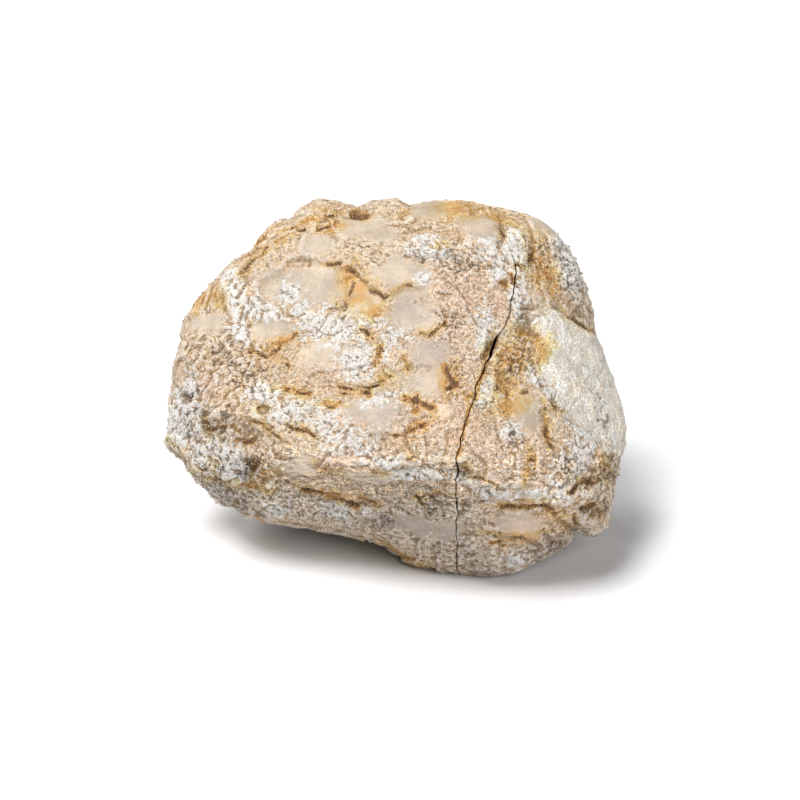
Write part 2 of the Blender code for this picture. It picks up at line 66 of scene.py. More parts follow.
# The stone's outline from the display side, anticlockwise from the left tip.
OUTLINE = [
    (-55.8, -10.3), (-53.2, -13), (-50.4, -14.6), (-47.4, -18.9), (-44.4, -22), (-40.9, -25),
    (-36.7, -27), (-32.2, -28.4), (-26.2, -28.5), (-21, -29), (-13.5, -30.6), (-7, -32),
    (-3.7, -33.9), (0, -36.8), (4.7, -39.3), (8.9, -40.9), (13.5, -41.6), (19.1, -41.6),
    (25.2, -41.2), (29.9, -39.6), (33.9, -37.4), (37.4, -34.8), (39.9, -33.2), (41.1, -30.6),
    (43, -31.6), (45.4, -30.4), (47.2, -28.4), (48.4, -26), (49.8, -22.2), (50.2, -18.2),
    (51.8, -14.5), (53.7, -10.5), (54.6, -6.5), (53.9, -1.2), (51.2, 3.5), (48.2, 9.3),
    (46.4, 14.5), (45.4, 20.5), (43.7, 26), (40.9, 32.7), (38.7, 36.7), (36.2, 40.6), (32.7, 43),
    (28, 44), (22.9, 45.2), (17.5, 46), (12.1, 46), (2.3, 45.4), (-1.2, 46.6), (-6.5, 46.1),
    (-10.3, 44.8), (-12.6, 45.9), (-15.2, 47), (-19.1, 46.5), (-23.4, 44.6), (-26.9, 42.7),
    (-31.5, 39.5), (-35, 35.3), (-38.5, 33.2), (-43.7, 28), (-46.7, 24.5), (-49.2, 20.8),
    (-50.6, 17.5), (-51.8, 12.4), (-53, 6.5), (-54, 1.9), (-54.4, -2.8), (-55.6, -6.5),
]
OUTLINE_TILT = -0.22  # how far the outline leans away from the viewer as it rises
HALF_DEPTH_NEAR = 45.0  # from the outline's plane towards the viewer
HALF_DEPTH_FAR = 42.0  # and away from the viewer
DOME_POWER = 2.35  # 2 is an ellipsoid, and more is boxier
FACET_SCALE = 40.0  # how gently the broad faces cut into the dome, in millimetres
FACET_ROUNDING = 0.045  # of the edges between them

# Broad faces: a point on each, and how far it comes nearer for each mm across and up.
NEAR_FACES = [
    (-11.7, -7, 30.5, 0.3, -0.4),  # big upper face
    (0, 36.2, 13.5, 0.05, -1.6),  # top
    (0, -18.7, 35, 0.3, 1.1),  # belt, left of the break
    (22, -22, 35.5, -0.4, 0.95),  # belt, right of the break
    (37.4, 0, 24.5, -1.45, -0.45),  # smooth face on the right
    (20, -12, 37, -0.45, -0.42),  # face between the break and the right ridge
    (35, 32.7, 8, -1.2, -0.9),  # upper right shoulder
    (-40, 28, 6, 0.9, -0.9),  # upper left shoulder
    (-47, -9, 12.5, 1.3, 0.1),  # left nose
    (-30, -24, 15, 0.45, 1.35),  # under the left nose
]
# The same for the side that the photo hides.
FAR_FACES = [
    (0, 8, -39, 0.1, 0.18),
    (-26, 22, -29, -0.75, 0.85),
    (24, 26, -31, 0.55, 0.95),
    (38, -2, -24, 1.4, 0.1),
    (-40, 0, -22, -1.2, -0.15),
    (-20, -18, -27, -0.45, -1.05),
    (16, -30, -22, 0.2, -1.1),
    (26, -36, -4.6, 0.74, -2.25),
    (10, -30, -21.5, 0, -1.28),
]

# Drawn on the display side. Grooves: half width, depth, then the line's points. A ridge has a
# negative depth.
GROOVES = [
    (0.9, 1.4, (-38.5, 31.5), (-35, 34.6), (-32, 37), (-28.5, 38.8), (-24.5, 40.4)),
    (0.9, 1.3, (-19, 41.2), (-15.5, 42.2), (-11, 43.2)),
    (1, 1.6, (-11.3, 43.6), (-7.6, 43.9)),
    (0.9, 1.2, (0.6, 42), (2.2, 43.4)),
    (1.9, -1.2, (-40, 27), (-39.3, 22.5), (-38, 18), (-36.3, 13.5)),
    (0.8, 1.3, (-36.5, 12.8), (-34, 11.4), (-31, 9.8)),
    (0.7, 1.1, (-30.2, 11.6), (-28, 10), (-25.6, 7.8)),
    (0.8, 1.2, (-13.5, 2.2), (-11, 2), (-7, 2.6), (-4.9, 4.2), (-3.2, 5.6), (-4, 7.2)),
    (0.9, 1.2, (-5.4, 13.2), (-4.9, 11), (-5.3, 8.6)),
    (0.8, 1.1, (1.9, 11.6), (1.4, 8)),
    (0.8, 1.2, (4.5, 15.6), (7, 15), (9.6, 17.4)),
    (1.1, 2, (1.6, 0.6), (3.7, -0.5), (5.7, -1.5), (8.6, -2.7)),
    (0.9, 1.5, (3.7, -0.5), (3.5, -2.4)),
    (1, 1.8, (5.8, -5.6), (3.5, -7.1), (1.2, -8.1), (-1.2, -8.9)),
    (1.2, 1.5, (10.9, 6.8), (12.9, 4.2), (12.1, 1.7)),
    (0.8, 1.2, (16.2, 1.2), (17.5, 0.2)),
    (0.8, 1.1, (18.2, -1.2), (19.4, -3.7)),
    (0.8, 1.2, (-37.9, -9.3), (-35.3, -9.9), (-33.6, -8.6)),
    (0.7, 0.9, (-34, -4.7), (-32, -5.8), (-29.9, -7.5), (-27.8, -8.6)),
    (0.9, 1.4, (-26.4, -6.2), (-23.8, -7.3), (-21.4, -7.1), (-19.6, -8.8), (-18, -9.5)),
    (1, 1.2, (-13.2, -13.4), (-10.5, -13.9), (-7.4, -13.1)),
    (0.8, 1.1, (-20.7, -14.6), (-18.2, -15.7), (-15.2, -16.3), (-12.8, -17)),
    (1, 1.5, (-22.6, -21.4), (-18.7, -22), (-15.2, -22.7), (-11.7, -24), (-8.9, -25)),
    (0.8, 0.9, (-9.3, -23.2), (-5, -24), (-3, -22.9)),
    (0.8, 0.8, (-6, -17.1), (-3, -17.4)),
    (0.8, 0.9, (1.8, -14), (6.2, -14.1)),
    (0.8, 0.9, (7.8, -23), (9.4, -25.6), (10.8, -27.6)),
    (0.8, 0.9, (-19, -28), (-13, -29), (-8, -30)),
    (1.1, 1.5, (22.6, -24.6), (25.7, -25.1), (28.2, -25), (30.8, -24.6), (32.9, -23.9)),
    (1, 1.5, (32.9, -23.9), (34.3, -25.1), (35.7, -26.5), (38.4, -26)),
    (0.8, 1.1, (15.9, -17.6), (18.2, -18.5), (20.3, -19), (21.7, -20.1), (23, -20.4)),
    (0.9, 1.4, (24.8, -31.4), (28, -32.6), (30, -32.6), (31.9, -31.8), (34.1, -29.8)),
    (0.9, 2.6, (39.8, -21.3), (40.8, -19.7), (42, -18.8), (43.4, -18.5), (44.6, -20)),
    (1.2, 2, (40.2, -24.6), (43, -25.8), (46, -25)),
    (1.3, 3, (40.6, -26.8), (41, -29.5), (41.3, -34)),
    (1.7, -1.5, (28, 9.2), (30.4, 5.9), (31.6, 3.4), (34, 1.2), (37.4, -3.5)),
    (1.6, -1.2, (37.4, -3.5), (40.2, -5.8), (44.4, -8.4), (46.9, -11.8)),
    (0.8, 1.4, (33.2, -1.7), (34, -5.8), (34.3, -8.5), (35.4, -10.2)),
    (1.3, -1, (26.8, 25.6), (27.8, 21.4), (26.9, 18.6)),
    (3.2, 1.1, (30.8, 37.4), (32.6, 33.2), (33.9, 29.8), (35.4, 26.6)),
    (0.9, 1.2, (28.6, 38.6), (29.3, 35), (30.1, 32)),
    (1, 1.5, (8.7, 35.6), (11, 35.3)),
]
# Steps: height and reach, then the points of the line, whose left-hand side is the higher one.
STEPS = [
    (1.1, 5, (-34.5, 24.5), (-32.5, 27.6), (-28.5, 29.4), (-25.5, 32.6), (-20.5, 33.2),
     (-14, 31.6), (-11.2, 31), (-9, 28.6), (-7.4, 27.2), (-4.2, 25), (-1.6, 24.4), (0.6, 25.8),
     (4.2, 26.4), (7, 25.8)),
    (1, 4, (-4, 36), (4.7, 35.4), (7, 37.2), (10.4, 35.2), (17, 35.1), (27, 34.6)),
    (1.8, 3.5, (-53.5, -11.8), (-49.4, -12.6), (-46.6, -16.6), (-43.2, -18.4), (-38.6, -20),
     (-36, -19.4)),
    (0.9, 4, (-13, 3), (-8, 2.9), (-4.4, 4.6), (-2.6, 6.4)),
    (1, 4, (-24, -14), (-17.4, -16), (-9, -17.4), (-1, -15.6), (6, -14.8), (13, -14.4)),
    (0.9, 3.5, (-11, -7.6), (-6, -8.2), (0, -8.4)),
    (1, 4.5, (16.5, -18.4), (22, -22.4), (28, -24.4), (33, -23.4), (36, -25.6), (41, -24.4)),
    (1, 4, (24.6, -31.8), (28, -33), (32, -32.2), (34.6, -29.6)),
    (1.3, 5, (47.6, -12.4), (44.6, -8.8), (40.4, -6.2), (37.8, -4), (34.4, 0.8), (32, 3.2),
     (30.8, 6), (28.4, 9.6)),
    (1.5, 5, (46.4, 13.8), (43.9, 15.6), (41.6, 18), (39.2, 19.5), (36.6, 20.8), (33.8, 21)),
]
# Lumps: middle, half sizes, turn in degrees, edge sharpness and height. A hollow is negative.
LUMPS = [
    (-45, -9.5, 9, 8.5, -25, 3, 1.3),  # white block at the lower left
    (-35.6, -15.8, 2.9, 2.6, 20, 2, -2.2),
    (-24, 20.5, 14.5, 9.5, -8, 3, -0.9),  # big calcite window
    (-12, 15.5, 11, 5, 14, 2, 0.8),
    (-33, 22, 4.5, 5, 0, 2, 0.5),
    (-13, 8.2, 8, 4.6, -4, 2, 0.8),
    (-2.5, 31, 7, 4.6, 8, 3, 0.6),
    (3, 19.4, 6.2, 4.8, -12, 2, -0.7),
    (6.8, 11.6, 5.2, 4, 0, 2, 0.7),
    (-4.7, -4.2, 9.4, 5.4, 4, 3, 1),  # white oval
    (-15.5, -9, 5, 6, 10, 2, 1),
    (-5, -15, 7, 2.6, 4, 2, 0.7),
    (4.6, -4.1, 2, 1.8, 0, 2, -0.9),
    (-28.5, -2, 6, 4.4, 10, 2, 0.9),
    (-33, -9, 5, 4, 0, 2, -0.5),
    (-43.5, 17.6, 4.2, 3.4, 30, 2, -0.5),
    (-20.5, 45, 5.6, 3, -14, 2, 1),
    (-29, 41, 3, 2.2, 35, 2, 0.6),
    (-3.5, 45.4, 4.6, 2.2, 0, 2, 0.7),
    (12, 44.4, 8.4, 3, 0, 2, 0.5),
    (19, 38.8, 4.8, 3.6, 0, 4, 1.1),  # smooth plate by the break, left of it
    (26.8, 35, 2.6, 4.2, 8, 4, 1.5),  # white block, right of the break
    (24.6, 26.8, 2, 2, 0, 2, -1),
    (30.4, 18.6, 3.4, 4.4, 10, 2, -1.3),
    (24.6, 4, 2.2, 2.9, 0, 2, -1.3),
    (21.2, 2.2, 2.4, 2, 30, 2, 0.8),
    (30, -4.5, 3.4, 6.4, 10, 2, 0.8),
    (27, -12, 7, 5.6, 0, 2, 0.6),
    (43.4, -4, 9, 4, -40, 2, -0.6),
    (38.8, -14.5, 4.4, 4, 0, 2, 0.9),
    (38.5, -22, 4, 2.6, 20, 2, 1.2),
    (27.6, -29, 5.4, 3.6, 0, 3, 1.1),
    (44.6, -22.2, 3, 2.2, 0, 2, 1.1),
    (44.9, -28, 3.4, 3.6, 0, 2, 1.6),  # knob
    (22, -37, 9, 3, 5, 2, 0.8),
    (36, -33, 4, 2.4, 35, 2, 0.7),
    (2, -31, 8, 5, -20, 2, -0.5),
    (-45.3, -3.6, 1.3, 1.3, 0, 2, -1.6),
    (-44.6, -6.6, 1.3, 1.6, 0, 2, -1.7),
    (-32, -2.4, 1.5, 1.2, 0, 2, -1.4),
    (-49.8, 0.4, 1, 1.4, 0, 2, -1.2),
    (-54.4, -10.4, 2, 1.8, 0, 2, 0.6),
    (21, 12.3, 1.2, 3, -22, 2, -1.5),  # chip off the larger piece's edge
    (14.9, -16.8, 1.7, 1.9, 0, 2, -1.2),  # chips off the smaller piece's edge
    (15.1, -24.4, 1.6, 1.8, 0, 3, -0.5),
    (15.5, -30.4, 1.6, 1.7, 0, 3, -0.5),
]

# The break, from the bottom of the display side to its top: (up, across).
BREAK_LINE = [
    (-41.6, 13.5), (-34, 13.2), (-26.9, 13.5), (-22, 12.9), (-17.3, 13.1), (-13.1, 13.3),
    (-7.9, 14.7), (-2.8, 16.1), (0.7, 17.3), (5, 18.6), (9.3, 20.5), (14.5, 22.6), (18.2, 25.2),
    (24.3, 26.4), (30.4, 27.1), (33.6, 26.4), (39.5, 24.3), (46, 23.1),
]
# Chips off the smaller piece's edge at the display side: up, half length and set-back.
CHIPS = [(12, 2.6, 0.6), (-16.4, 1.8, 0.4), (29.4, 1.6, 0.5), (39, 1.8, 0.7), (-24.6, 1.4, 0.3)]

# The seen skin. Its grooves, steps and chips are softer than those of the solids, by these shares.
GROOVE_WIDTH = 0.5
GROOVE_DEPTH = 0.28
STEP_HEIGHT = 0.45
CHIP_SHARE = 0.55
CREVICE_DEPTH = 0.35  # of the thin crevices, as a share of what their tables say
STEP_WIDTH = 0.5  # half the width of a step's slope
STEP_END = 3.0  # how far from its ends a step fades out
CREVICE_REACH = 2.4  # how far from its line a crevice may still stain the crust
CHIP_THICKNESS = 0.4  # how deep the chips go below the crust
CHIP_REACH = 1.5  # how far they go from the break
DISPLAY_CALM = 0.55  # how much of the all-over roughness the display side lacks
WINDOW_CALM = 0.75  # and how much of the rest its windows lack
TERRACE_HEIGHT = 1.5
CRACK_DEPTH = 1.2  # of the cracks that are all over the stone
LAYER_SQUASH = (0.16, 0.9, 0.5)  # how close the belt's layers lie, across, up and near
LAYER_HEIGHT = 0.22
PORE_DEPTH = 0.5
SPHERE_STEPS = 145  # along each edge of the cube that the stone's skin is spread from
FARTHEST = 90.0  # the whole stone is nearer to the drawing's centre
HALVINGS = 22  # of that distance, to find the stone's surface
HOLLOW_ROUNDS = 3  # how many points away a point's surroundings reach
NEAR_CROWDING = 0.3  # how much the skin's points crowd towards the viewer
BREAK_FACE_STEP = 0.9  # between the points of the broken faces
STAINED_DEPTH = 3.0  # how deep the stains go into the break
# Width of the open break, from the bottom of the display side to its top: ups, then widths.
CRACK_WIDTHS = (
    (-42, -36, -19, -17, 0, 2, 15, 17, 29, 34, 46),
    (0.35, 0.28, 0.25, 0.28, 0.32, 0.38, 0.42, 0.28, 0.32, 0.15, 0.1),
)

# The grains: those drawn by the shader, and the little crystals that stand on the crust.
GRAINS_PER_METRE = 2700.0
BUMP_HEIGHT = 0.0007
LAYERS = (1.0, 0.7, 3.2)  # how much thinner the shader's layers are than long
GRAIN_SIZES = (0.28, 0.85)  # the smallest and the largest
GRAIN_FACES = (
    (0, 2, 4), (2, 1, 4), (1, 3, 4), (3, 0, 4), (2, 0, 5), (1, 2, 5), (3, 1, 5), (0, 3, 5))
LARGER_GRAINS = 20000
SMALLER_GRAINS = 11000
BREAK_CLEARANCE = 1.0  # no grains stand nearer to the break
FLOOR_CLEARANCE = 0.9  # nor lower

# What the crust is made of, drawn on the display side as ovals: middle, half sizes and, for
# those that lean, turn in degrees.
WINDOWS = [
    (-22.5, 26.8, 10, 4.6, -4), (1.5, 27.5, 6, 4, 20), (-18.7, 27.3, 6.6, 4.4),
    (-26.9, 25.7, 5.8, 3), (-1.2, 29.2, 5.4, 3.8, 10), (2.3, 20.5, 5.4, 3.8), (-8.9, 40.2, 4.8, 2),
    (-3.5, 38, 3.4, 2.2), (19.1, 39.2, 4.4, 3.4), (-44.8, 18.2, 3.8, 2.6, 15),
    (-29.9, 16.8, 5.4, 2.4), (6.5, 10.7, 4.6, 3.2), (-6.5, -3, 7.6, 3.8), (-17.5, 10.5, 5.2, 3.4),
    (7, 4.2, 5, 3.4), (9.3, -2.8, 4, 1.4), (29, -3.5, 2.6, 5.2), (23.1, -22.4, 3.4, 1.6),
    (29.4, -21.5, 3, 1.8), (28, -29.2, 5, 2.9), (-9.8, -13.8, 3.2, 1.2, 5), (3, -29.5, 4, 2.2, -20),
    (11, -30.5, 3.4, 2.2, 10), (-6, -18, 6, 1.8), (7.5, 43.9, 5, 1.8), (-23.4, -15.6, 3.4, 2.4),
    (-8.5, 24, 4.4, 4.4), (34, 41, 3.4, 2, -25), (-19, 36, 4, 2, 15),
]
FROST = [(43.5, 4.5, 17.5, 8.4, -60), (36, 17, 4, 3)]
CHALK = [
    (-38.3, 23.4, 1.8, 4.6), (-37.2, 17.5, 1.6, 3.4, 15), (-34.1, 21.5, 3, 2.8),
    (-25.2, 25.2, 2.2, 2.4), (-40.2, 28.5, 2.6, 1.6, 25), (-30.4, 21, 2.4, 2.2),
    (-23.4, 21, 3, 2.4), (-17.5, 17.5, 6, 3.6, -10), (-12.8, 15.2, 4.2, 3), (-8.9, 8.9, 5, 3.6),
    (-1.2, 14.5, 3.6, 2.2), (-6.5, 17.5, 2.4, 1.8), (-30.8, 1.2, 3.4, 2.4), (-25.2, -2.8, 4.4, 3),
    (-49, 3.5, 1.6, 3), (-50.2, -3.5, 3.6, 4.8), (-50.2, -8.2, 3.6, 2.4), (-43.5, -12.6, 4, 3),
    (-41.6, -15.9, 4, 3), (-37.4, -18, 2.4, 1.4), (-16.3, -6, 3, 3.4), (-11.7, -9.3, 4, 2.2),
    (-7, -11.7, 2.6, 1.4), (-5.1, 0.2, 5, 1.6), (-2.3, -14.5, 4, 1.4), (-29.9, -20.3, 1.8, 1.2),
    (-14, -26.2, 3.8, 1.8), (-29, -25.7, 2.6, 1.8), (-33, -22.5, 2.6, 1.2), (-8.5, -26, 2, 1),
    (38, 38, 2, 2.4), (7, 34.6, 4.4, 1.6), (5.8, 36.7, 3, 1.4), (22.2, 33.9, 4.6, 1.8, -15),
    (26.9, 35, 2.5, 4.8, 5), (23.4, 29.9, 2, 2), (20.3, 15.2, 2.4, 5, 10), (5.8, 28.5, 1.6, 1),
    (21.5, 1.6, 2.2, 1.8), (19.9, -0.5, 2.4, 1.2), (30.4, 6.5, 1.4, 3, 40),
    (34.6, 0.7, 1.3, 3.2, 45), (38, -3.9, 1.1, 2.8, 50), (42, -7, 0.9, 3, 60), (25.2, -7.5, 2.2, 2),
    (40.9, -14, 3, 4.6, -20), (37.4, -21, 3.6, 2), (33, -22, 3.2, 1.4), (21.8, -21.7, 4.4, 1.6),
    (25.7, -36.9, 3, 1.2), (16.3, -19.4, 2.4, 1), (27.6, 23, 1.4, 3.6), (39.5, 30.5, 2, 5, 15),
    (3, -17.6, 6, 1.4),
]
RUST = [
    (21, 12.3, 1.6, 3.4, -22), (14.9, -16.8, 1.4, 1.6), (-9.8, 25.7, 3.6, 4.2), (-6.5, 21, 4, 2),
    (-12.1, 29.2, 2.2, 2.2), (-16.3, 43.4, 2.4, 0.8), (-15.9, 40.4, 3.8, 1), (14, 44, 5.4, 2.4),
    (23.4, 42.6, 3.8, 1.2, -10), (27.2, 40.4, 1.8, 1.6), (31.5, 33.5, 2.6, 5, 12),
    (34, 29.9, 2.4, 4, 15), (35.5, 26.6, 1.6, 2), (28.4, 15.8, 3.4, 2.6), (26.2, 10.5, 4.6, 3.6),
    (24.8, 3.8, 2.6, 3.2), (24.5, -1.2, 4, 2.2), (32.7, 12.8, 2.2, 4), (11.9, 4.2, 2, 3.8),
    (16.6, 1, 1.8, 1.2), (4.7, -1, 3.4, 1.4, -20), (3.5, -7, 3.2, 1.1, 25), (29.2, -24.4, 6.2, 1),
    (34.8, -24.4, 2.6, 1.5, -20), (36.6, -27, 3, 1.8, -15), (-45.5, 23.2, 3.8, 1.5, 30),
    (-42, 24.3, 1.3, 2.4), (-33.2, -20.5, 3.8, 1.5), (-31.8, -17.3, 3, 1.5),
    (-25, 1.9, 4.2, 0.8, -8), (-16.3, -1, 3.8, 0.9), (-29.2, 13.3, 3.8, 1.2, 28),
    (-21.2, -8, 2.8, 1.1, -25), (33.9, -5.8, 0.9, 5, 5), (30.4, -14, 1.5, 2),
    (29.7, -17.5, 1.1, 2.6), (47.4, -15.4, 2.2, 3), (-15.2, -22.4, 6.4, 1.3, -14),
    (-32, 36.6, 5, 0.6, 42), (-23, 40.6, 4, 0.6, 20), (25.7, -31.2, 6.4, 0.8),
    (2, -37.2, 8, 0.9, -28), (-5.2, 11, 0.9, 2.6), (-4.6, 4.6, 1.8, 1, 30),
]
UMBER = [
    (21, 12.3, 1.4, 3, -22), (14.9, -16.8, 1.5, 1.7), (-9, 43.4, 2, 0.8), (-35.2, -17, 2.8, 3),
    (30.6, 18.4, 3, 4, 10), (44, -25.4, 2.6, 1.2), (48.2, -15.8, 2.2, 3), (42, -19.8, 1.7, 1, 30),
    (7.8, -24.6, 2, 2.4), (-3.6, -28.4, 2.2, 1.6), (40.6, 19.6, 4.4, 1.9, -30),
    # The ovals at (-39, -24) and (37.5, -34) are painted shade: the underside made darker.
    (-38, -7.2, 6, 2.8, -10), (-17, -23.2, 5, 1.4, -15), (-39, -24, 7, 3.4, -30),
    (37.5, -34, 6, 2.4, 30),
]
ASH = [
    (14.9, -16.8, 1.8, 2), (15.1, -24.4, 1.6, 1.8), (15.5, -30.4, 1.6, 1.7), (9.3, 33.6, 7, 1.6),
    (40, 33, 2.4, 6, 20), (5.8, -29.2, 13, 7, -10), (28, -37, 6, 2.4, 20), (21, -38.4, 9, 3),
    (7, 10.7, 5.4, 4), (-5.1, -3.5, 6, 3.4), (2.4, 20, 4.4, 3.4), (-50, -7.4, 4, 4.6),
    # The oval at (-40, -23) is painted shade: the underside made darker.
    (-41.6, -14.5, 3.6, 3.4), (-40, -23, 6, 4, -35), (-8, -28, 12, 3, -10), (-24, -24, 12, 4, -20),
    (14.5, -33, 8, 8), (50, -8, 3.4, 6, 20),
]
BLUSH = [
    (16.3, 25.7, 9, 6), (10.5, 16.3, 6, 5), (7, 10.7, 5.4, 4.2), (12.8, 7, 4.6, 6),
    (23.4, 23.4, 3, 5), (-14.3, 5.8, 7, 3), (7, -5.8, 8, 5), (21, -11.7, 8, 7), (-6.5, -3, 8, 4),
    (-11.7, -14, 6, 1.8), (-3.5, 11.8, 2.4, 2.6), (13.6, -3, 3.4, 2.6), (32, -16, 4, 4),
    (-45, 3, 4, 3), (28, -29, 5, 3),
]
# Places full of small pits, painted dark: brown in them, and painted shade.
PITTED = [
    (32, 33, 1.8, 4, 12), (-45, -7, 7, 3), (-48.5, -1, 4, 5), (-41, -5, 3, 3), (-43, -15, 4.4, 2.6),
    (39.5, 30, 3, 9, 15), (46, -17.5, 4, 3), (9, 33, 9, 2.4), (14, 31.5, 8, 2), (12, 19, 4, 3),
    (12.5, 5, 2.6, 5), (27, -9, 3, 3), (38, -15, 3, 3), (45.5, -25, 4, 4.5), (28, 9.5, 6, 4),
    (7.8, -24.6, 2.4, 3), (-3.6, -28.4, 2.6, 2), (33, -34, 9, 3, 20), (-35, -17, 3.4, 3.4),
    (-42, 11, 6, 5), (-36, 6, 6, 4), (47, -2, 2, 7, 15),
]
# Thin crevices on the display side: half width, depth, then the line's points. The rusty ones
# also stain.
DARK_CREVICES = [
    (0.5, 1, (-37.1, 29.2), (-35.7, 31.1), (-33.4, 33.4), (-30.8, 35.5)),
    (0.45, 1, (-29, 36.9), (-27.3, 37.8), (-25.2, 39), (-22.2, 39.9)),
    (0.6, 1.4, (-18.9, 42), (-16.8, 42.7), (-14.9, 43.4), (-13.5, 44.1)),
    (0.5, 1.1, (-17, 31.8), (-13.5, 31.8), (-12.4, 30.8), (-11, 30.1), (-9.8, 29), (-7.5, 27.6)),
    (0.45, 1, (-6.8, 25.7), (-5.1, 24.8), (-3.7, 24.1), (-2.1, 25), (0.5, 26.2), (2.8, 26.6)),
    (0.5, 1, (-8.9, 16.6), (-7.7, 15.6), (-6.3, 14.2)),
    (0.6, 1.2, (4.7, 15.6), (7, 15.2), (8.6, 16.6), (10.5, 18.2)),
    (0.45, 0.9, (1.2, 10), (1.9, 8.6), (2.1, 7)),
    (0.4, 0.8, (-4, 7), (-3.3, 5.8), (-2.1, 5.4)),
    (0.35, 0.7, (-14, 3.5), (-11.7, 2.8), (-7.2, 2.6), (-4.9, 3.5), (-3, 4.7)),
    (0.4, 0.8, (-13.3, 1.4), (-10.3, 1.4)),
    (0.5, 1.1, (-1.2, -8.4), (0.7, -7.9), (2.6, -7)),
    (0.4, 0.9, (-35, 11), (-33.6, 11.7), (-32.2, 10.7), (-30.8, 9.8)),
    (0.4, 0.9, (-29.7, 10.7), (-28, 9.6), (-25.9, 7.9)),
    (0.5, 0.9, (-33.2, -1.9), (-31.1, -1.6)),
    (0.6, 1.2, (-45.5, -4.7), (-45.1, -6.5), (-43.7, -6.8)),
    (0.6, 1.2, (-44.8, -8.4), (-44.1, -7.9)),
    (0.5, 1, (-53.7, -8.9), (-52.3, -10.3), (-50.9, -12.1)),
    (0.5, 0.9, (-41.6, -6.3), (-39.9, -6.5), (-38.3, -6.3)),
    (0.6, 1.1, (-37.4, -9.1), (-35.5, -9.8), (-34.1, -9.1)),
    (0.4, 0.9, (-33.9, -5.1), (-32, -5.8), (-30.1, -7.2), (-28, -8.6)),
    (0.5, 1, (-26.2, -5.6), (-25.2, -6.8), (-21.7, -7.2), (-19.6, -8.6)),
    (0.6, 1, (-43.9, -13.8), (-43, -14.7), (-43.7, -15.9), (-43, -16.6)),
    (0.5, 0.9, (-47.4, -15.9), (-45.3, -17), (-43, -18.7), (-38.5, -19.8)),
    (0.4, 0.8, (-19.6, -14.5), (-18.7, -15.4), (-15.6, -16.3), (-13.5, -16.1)),
    (0.45, 0.8, (1.6, -14), (3, -13.5)),
    (0.35, 0.7, (-6.1, -17), (-3.3, -17.3)),
    (0.45, 0.9, (-9.6, -23.1), (-7.9, -23.4), (-5.4, -24.5)),
    (0.45, 0.8, (3.7, -22.4), (4.7, -23.4), (5.6, -24.1)),
    (0.6, 1.4, (27.6, 31.5), (28, 31.3)),
    (0.4, 0.9, (8.9, 36.4), (11, 36.2)),
    (0.5, 1, (0, 42.5), (0.9, 43.4), (1.6, 43.9)),
    (0.5, 1.2, (22.9, 40.6), (23.8, 39), (24.3, 38.1)),
    (0.5, 1.1, (28.7, 38.1), (29.9, 35.5), (30.6, 32.7)),
    (0.5, 1.2, (37.4, 21.5), (38.8, 19.6), (41.3, 18.4), (44.4, 16.1)),
    (0.5, 0.9, (28.3, 1.9), (29.4, 2.1)),
    (0.45, 0.9, (35, -0.9), (36.4, -1.9), (37.6, -3)),
    (0.4, 0.8, (38.1, -16.6), (39, -16.8), (39.9, -15.2)),
    (0.9, 1.8, (39.7, -21.7), (40.9, -20.5), (41.8, -19.1), (43.4, -18.7), (44.4, -20.1)),
    (0.35, 0.7, (15.9, -18), (18.7, -18.2), (20.8, -19.6), (22.9, -20.5)),
    (0.8, 1.4, (42.7, -25.9), (44.1, -25), (45.5, -24.5)),
    (0.5, 1, (45.3, -27.1), (46.7, -26.4)),
    (0.4, 0.8, (24.5, -31.8), (26.6, -32.2), (29.9, -32.5), (33.4, -30.4)),
    (0.25, 0.5, (5.8, -22.6), (9.3, -21.5), (12.8, -22.2)),
]
RUSTY_CREVICES = [
    (0.6, 1, (-18.7, 39.7), (-16.8, 40.4), (-14.5, 41.3)),
    (1, 1.8, (-11, 43.4), (-7.9, 43.2)),
    (0.4, 0.8, (-10.5, 27.1), (-11.7, 24.3)),
    (0.7, 1.1, (-4.4, 12.6), (-4.7, 10.7), (-5.1, 8.6)),
    (0.8, 1.3, (1.2, 0.5), (2.8, -0.2), (4.4, -0.9), (7.7, -1.9)),
    (0.8, 1.2, (4, 0.7), (4.2, -0.9), (3.5, -2.3)),
    (0.8, 1.1, (2.8, -6.8), (4.7, -6.3), (6.1, -5.4)),
    (0.8, 0.9, (-8.6, 1.4), (-7.2, 1.4)),
    (0.5, 0.8, (-17, -0.9), (-15.4, -1.6), (-13.8, -0.7)),
    (0.5, 0.5, (-26.2, 2.6), (-23.8, 2.1), (-20.5, 1.4)),
    (0.5, 0.4, (-29, 11.4), (-27.3, 13.1), (-24.1, 15.4)),
    (0.7, 1, (-22.6, -21.2), (-17.5, -21.9), (-14.5, -23.1), (-9.8, -24.8)),
    (0.5, 0.8, (22.9, 9.1), (24.8, 9.1), (26.4, 9.3)),
    (0.9, 1.1, (22.6, 6.5), (22.9, 4.4), (22.6, 2.3)),
    (0.6, 0.8, (24.3, 1.9), (25.2, -0.2)),
    (0.5, 0.9, (33.9, -5.8), (33.9, -8.2), (35.3, -11)),
    (0.6, 0.9, (30.1, -14), (31.3, -14.2)),
    (0.6, 1.1, (22.9, -25), (26.2, -25.2), (30.4, -24.3), (34.1, -24.3), (35.7, -26.4)),
    (0.5, 0.7, (21, -33.2), (22.6, -32.9), (24.3, -33.9)),
    (0.5, 0.8, (26.2, 29.2), (26.2, 27.1)),
    (0.6, 0.9, (24.1, 27.6), (24.8, 26.4)),
    (0.8, 1, (10.7, 7.7), (11.7, 5.1), (13.3, 3.7)),
    (0.8, 1, (11.2, 2.8), (13.1, 3.5)),
    (0.5, 0.8, (15.4, 1.4), (17.3, 0.5)),
    (0.3, 0, (13.2, -14), (14.7, -7.9), (16.1, -2.8), (17.3, 0.7), (18.6, 5), (20.5, 9.3)),
]

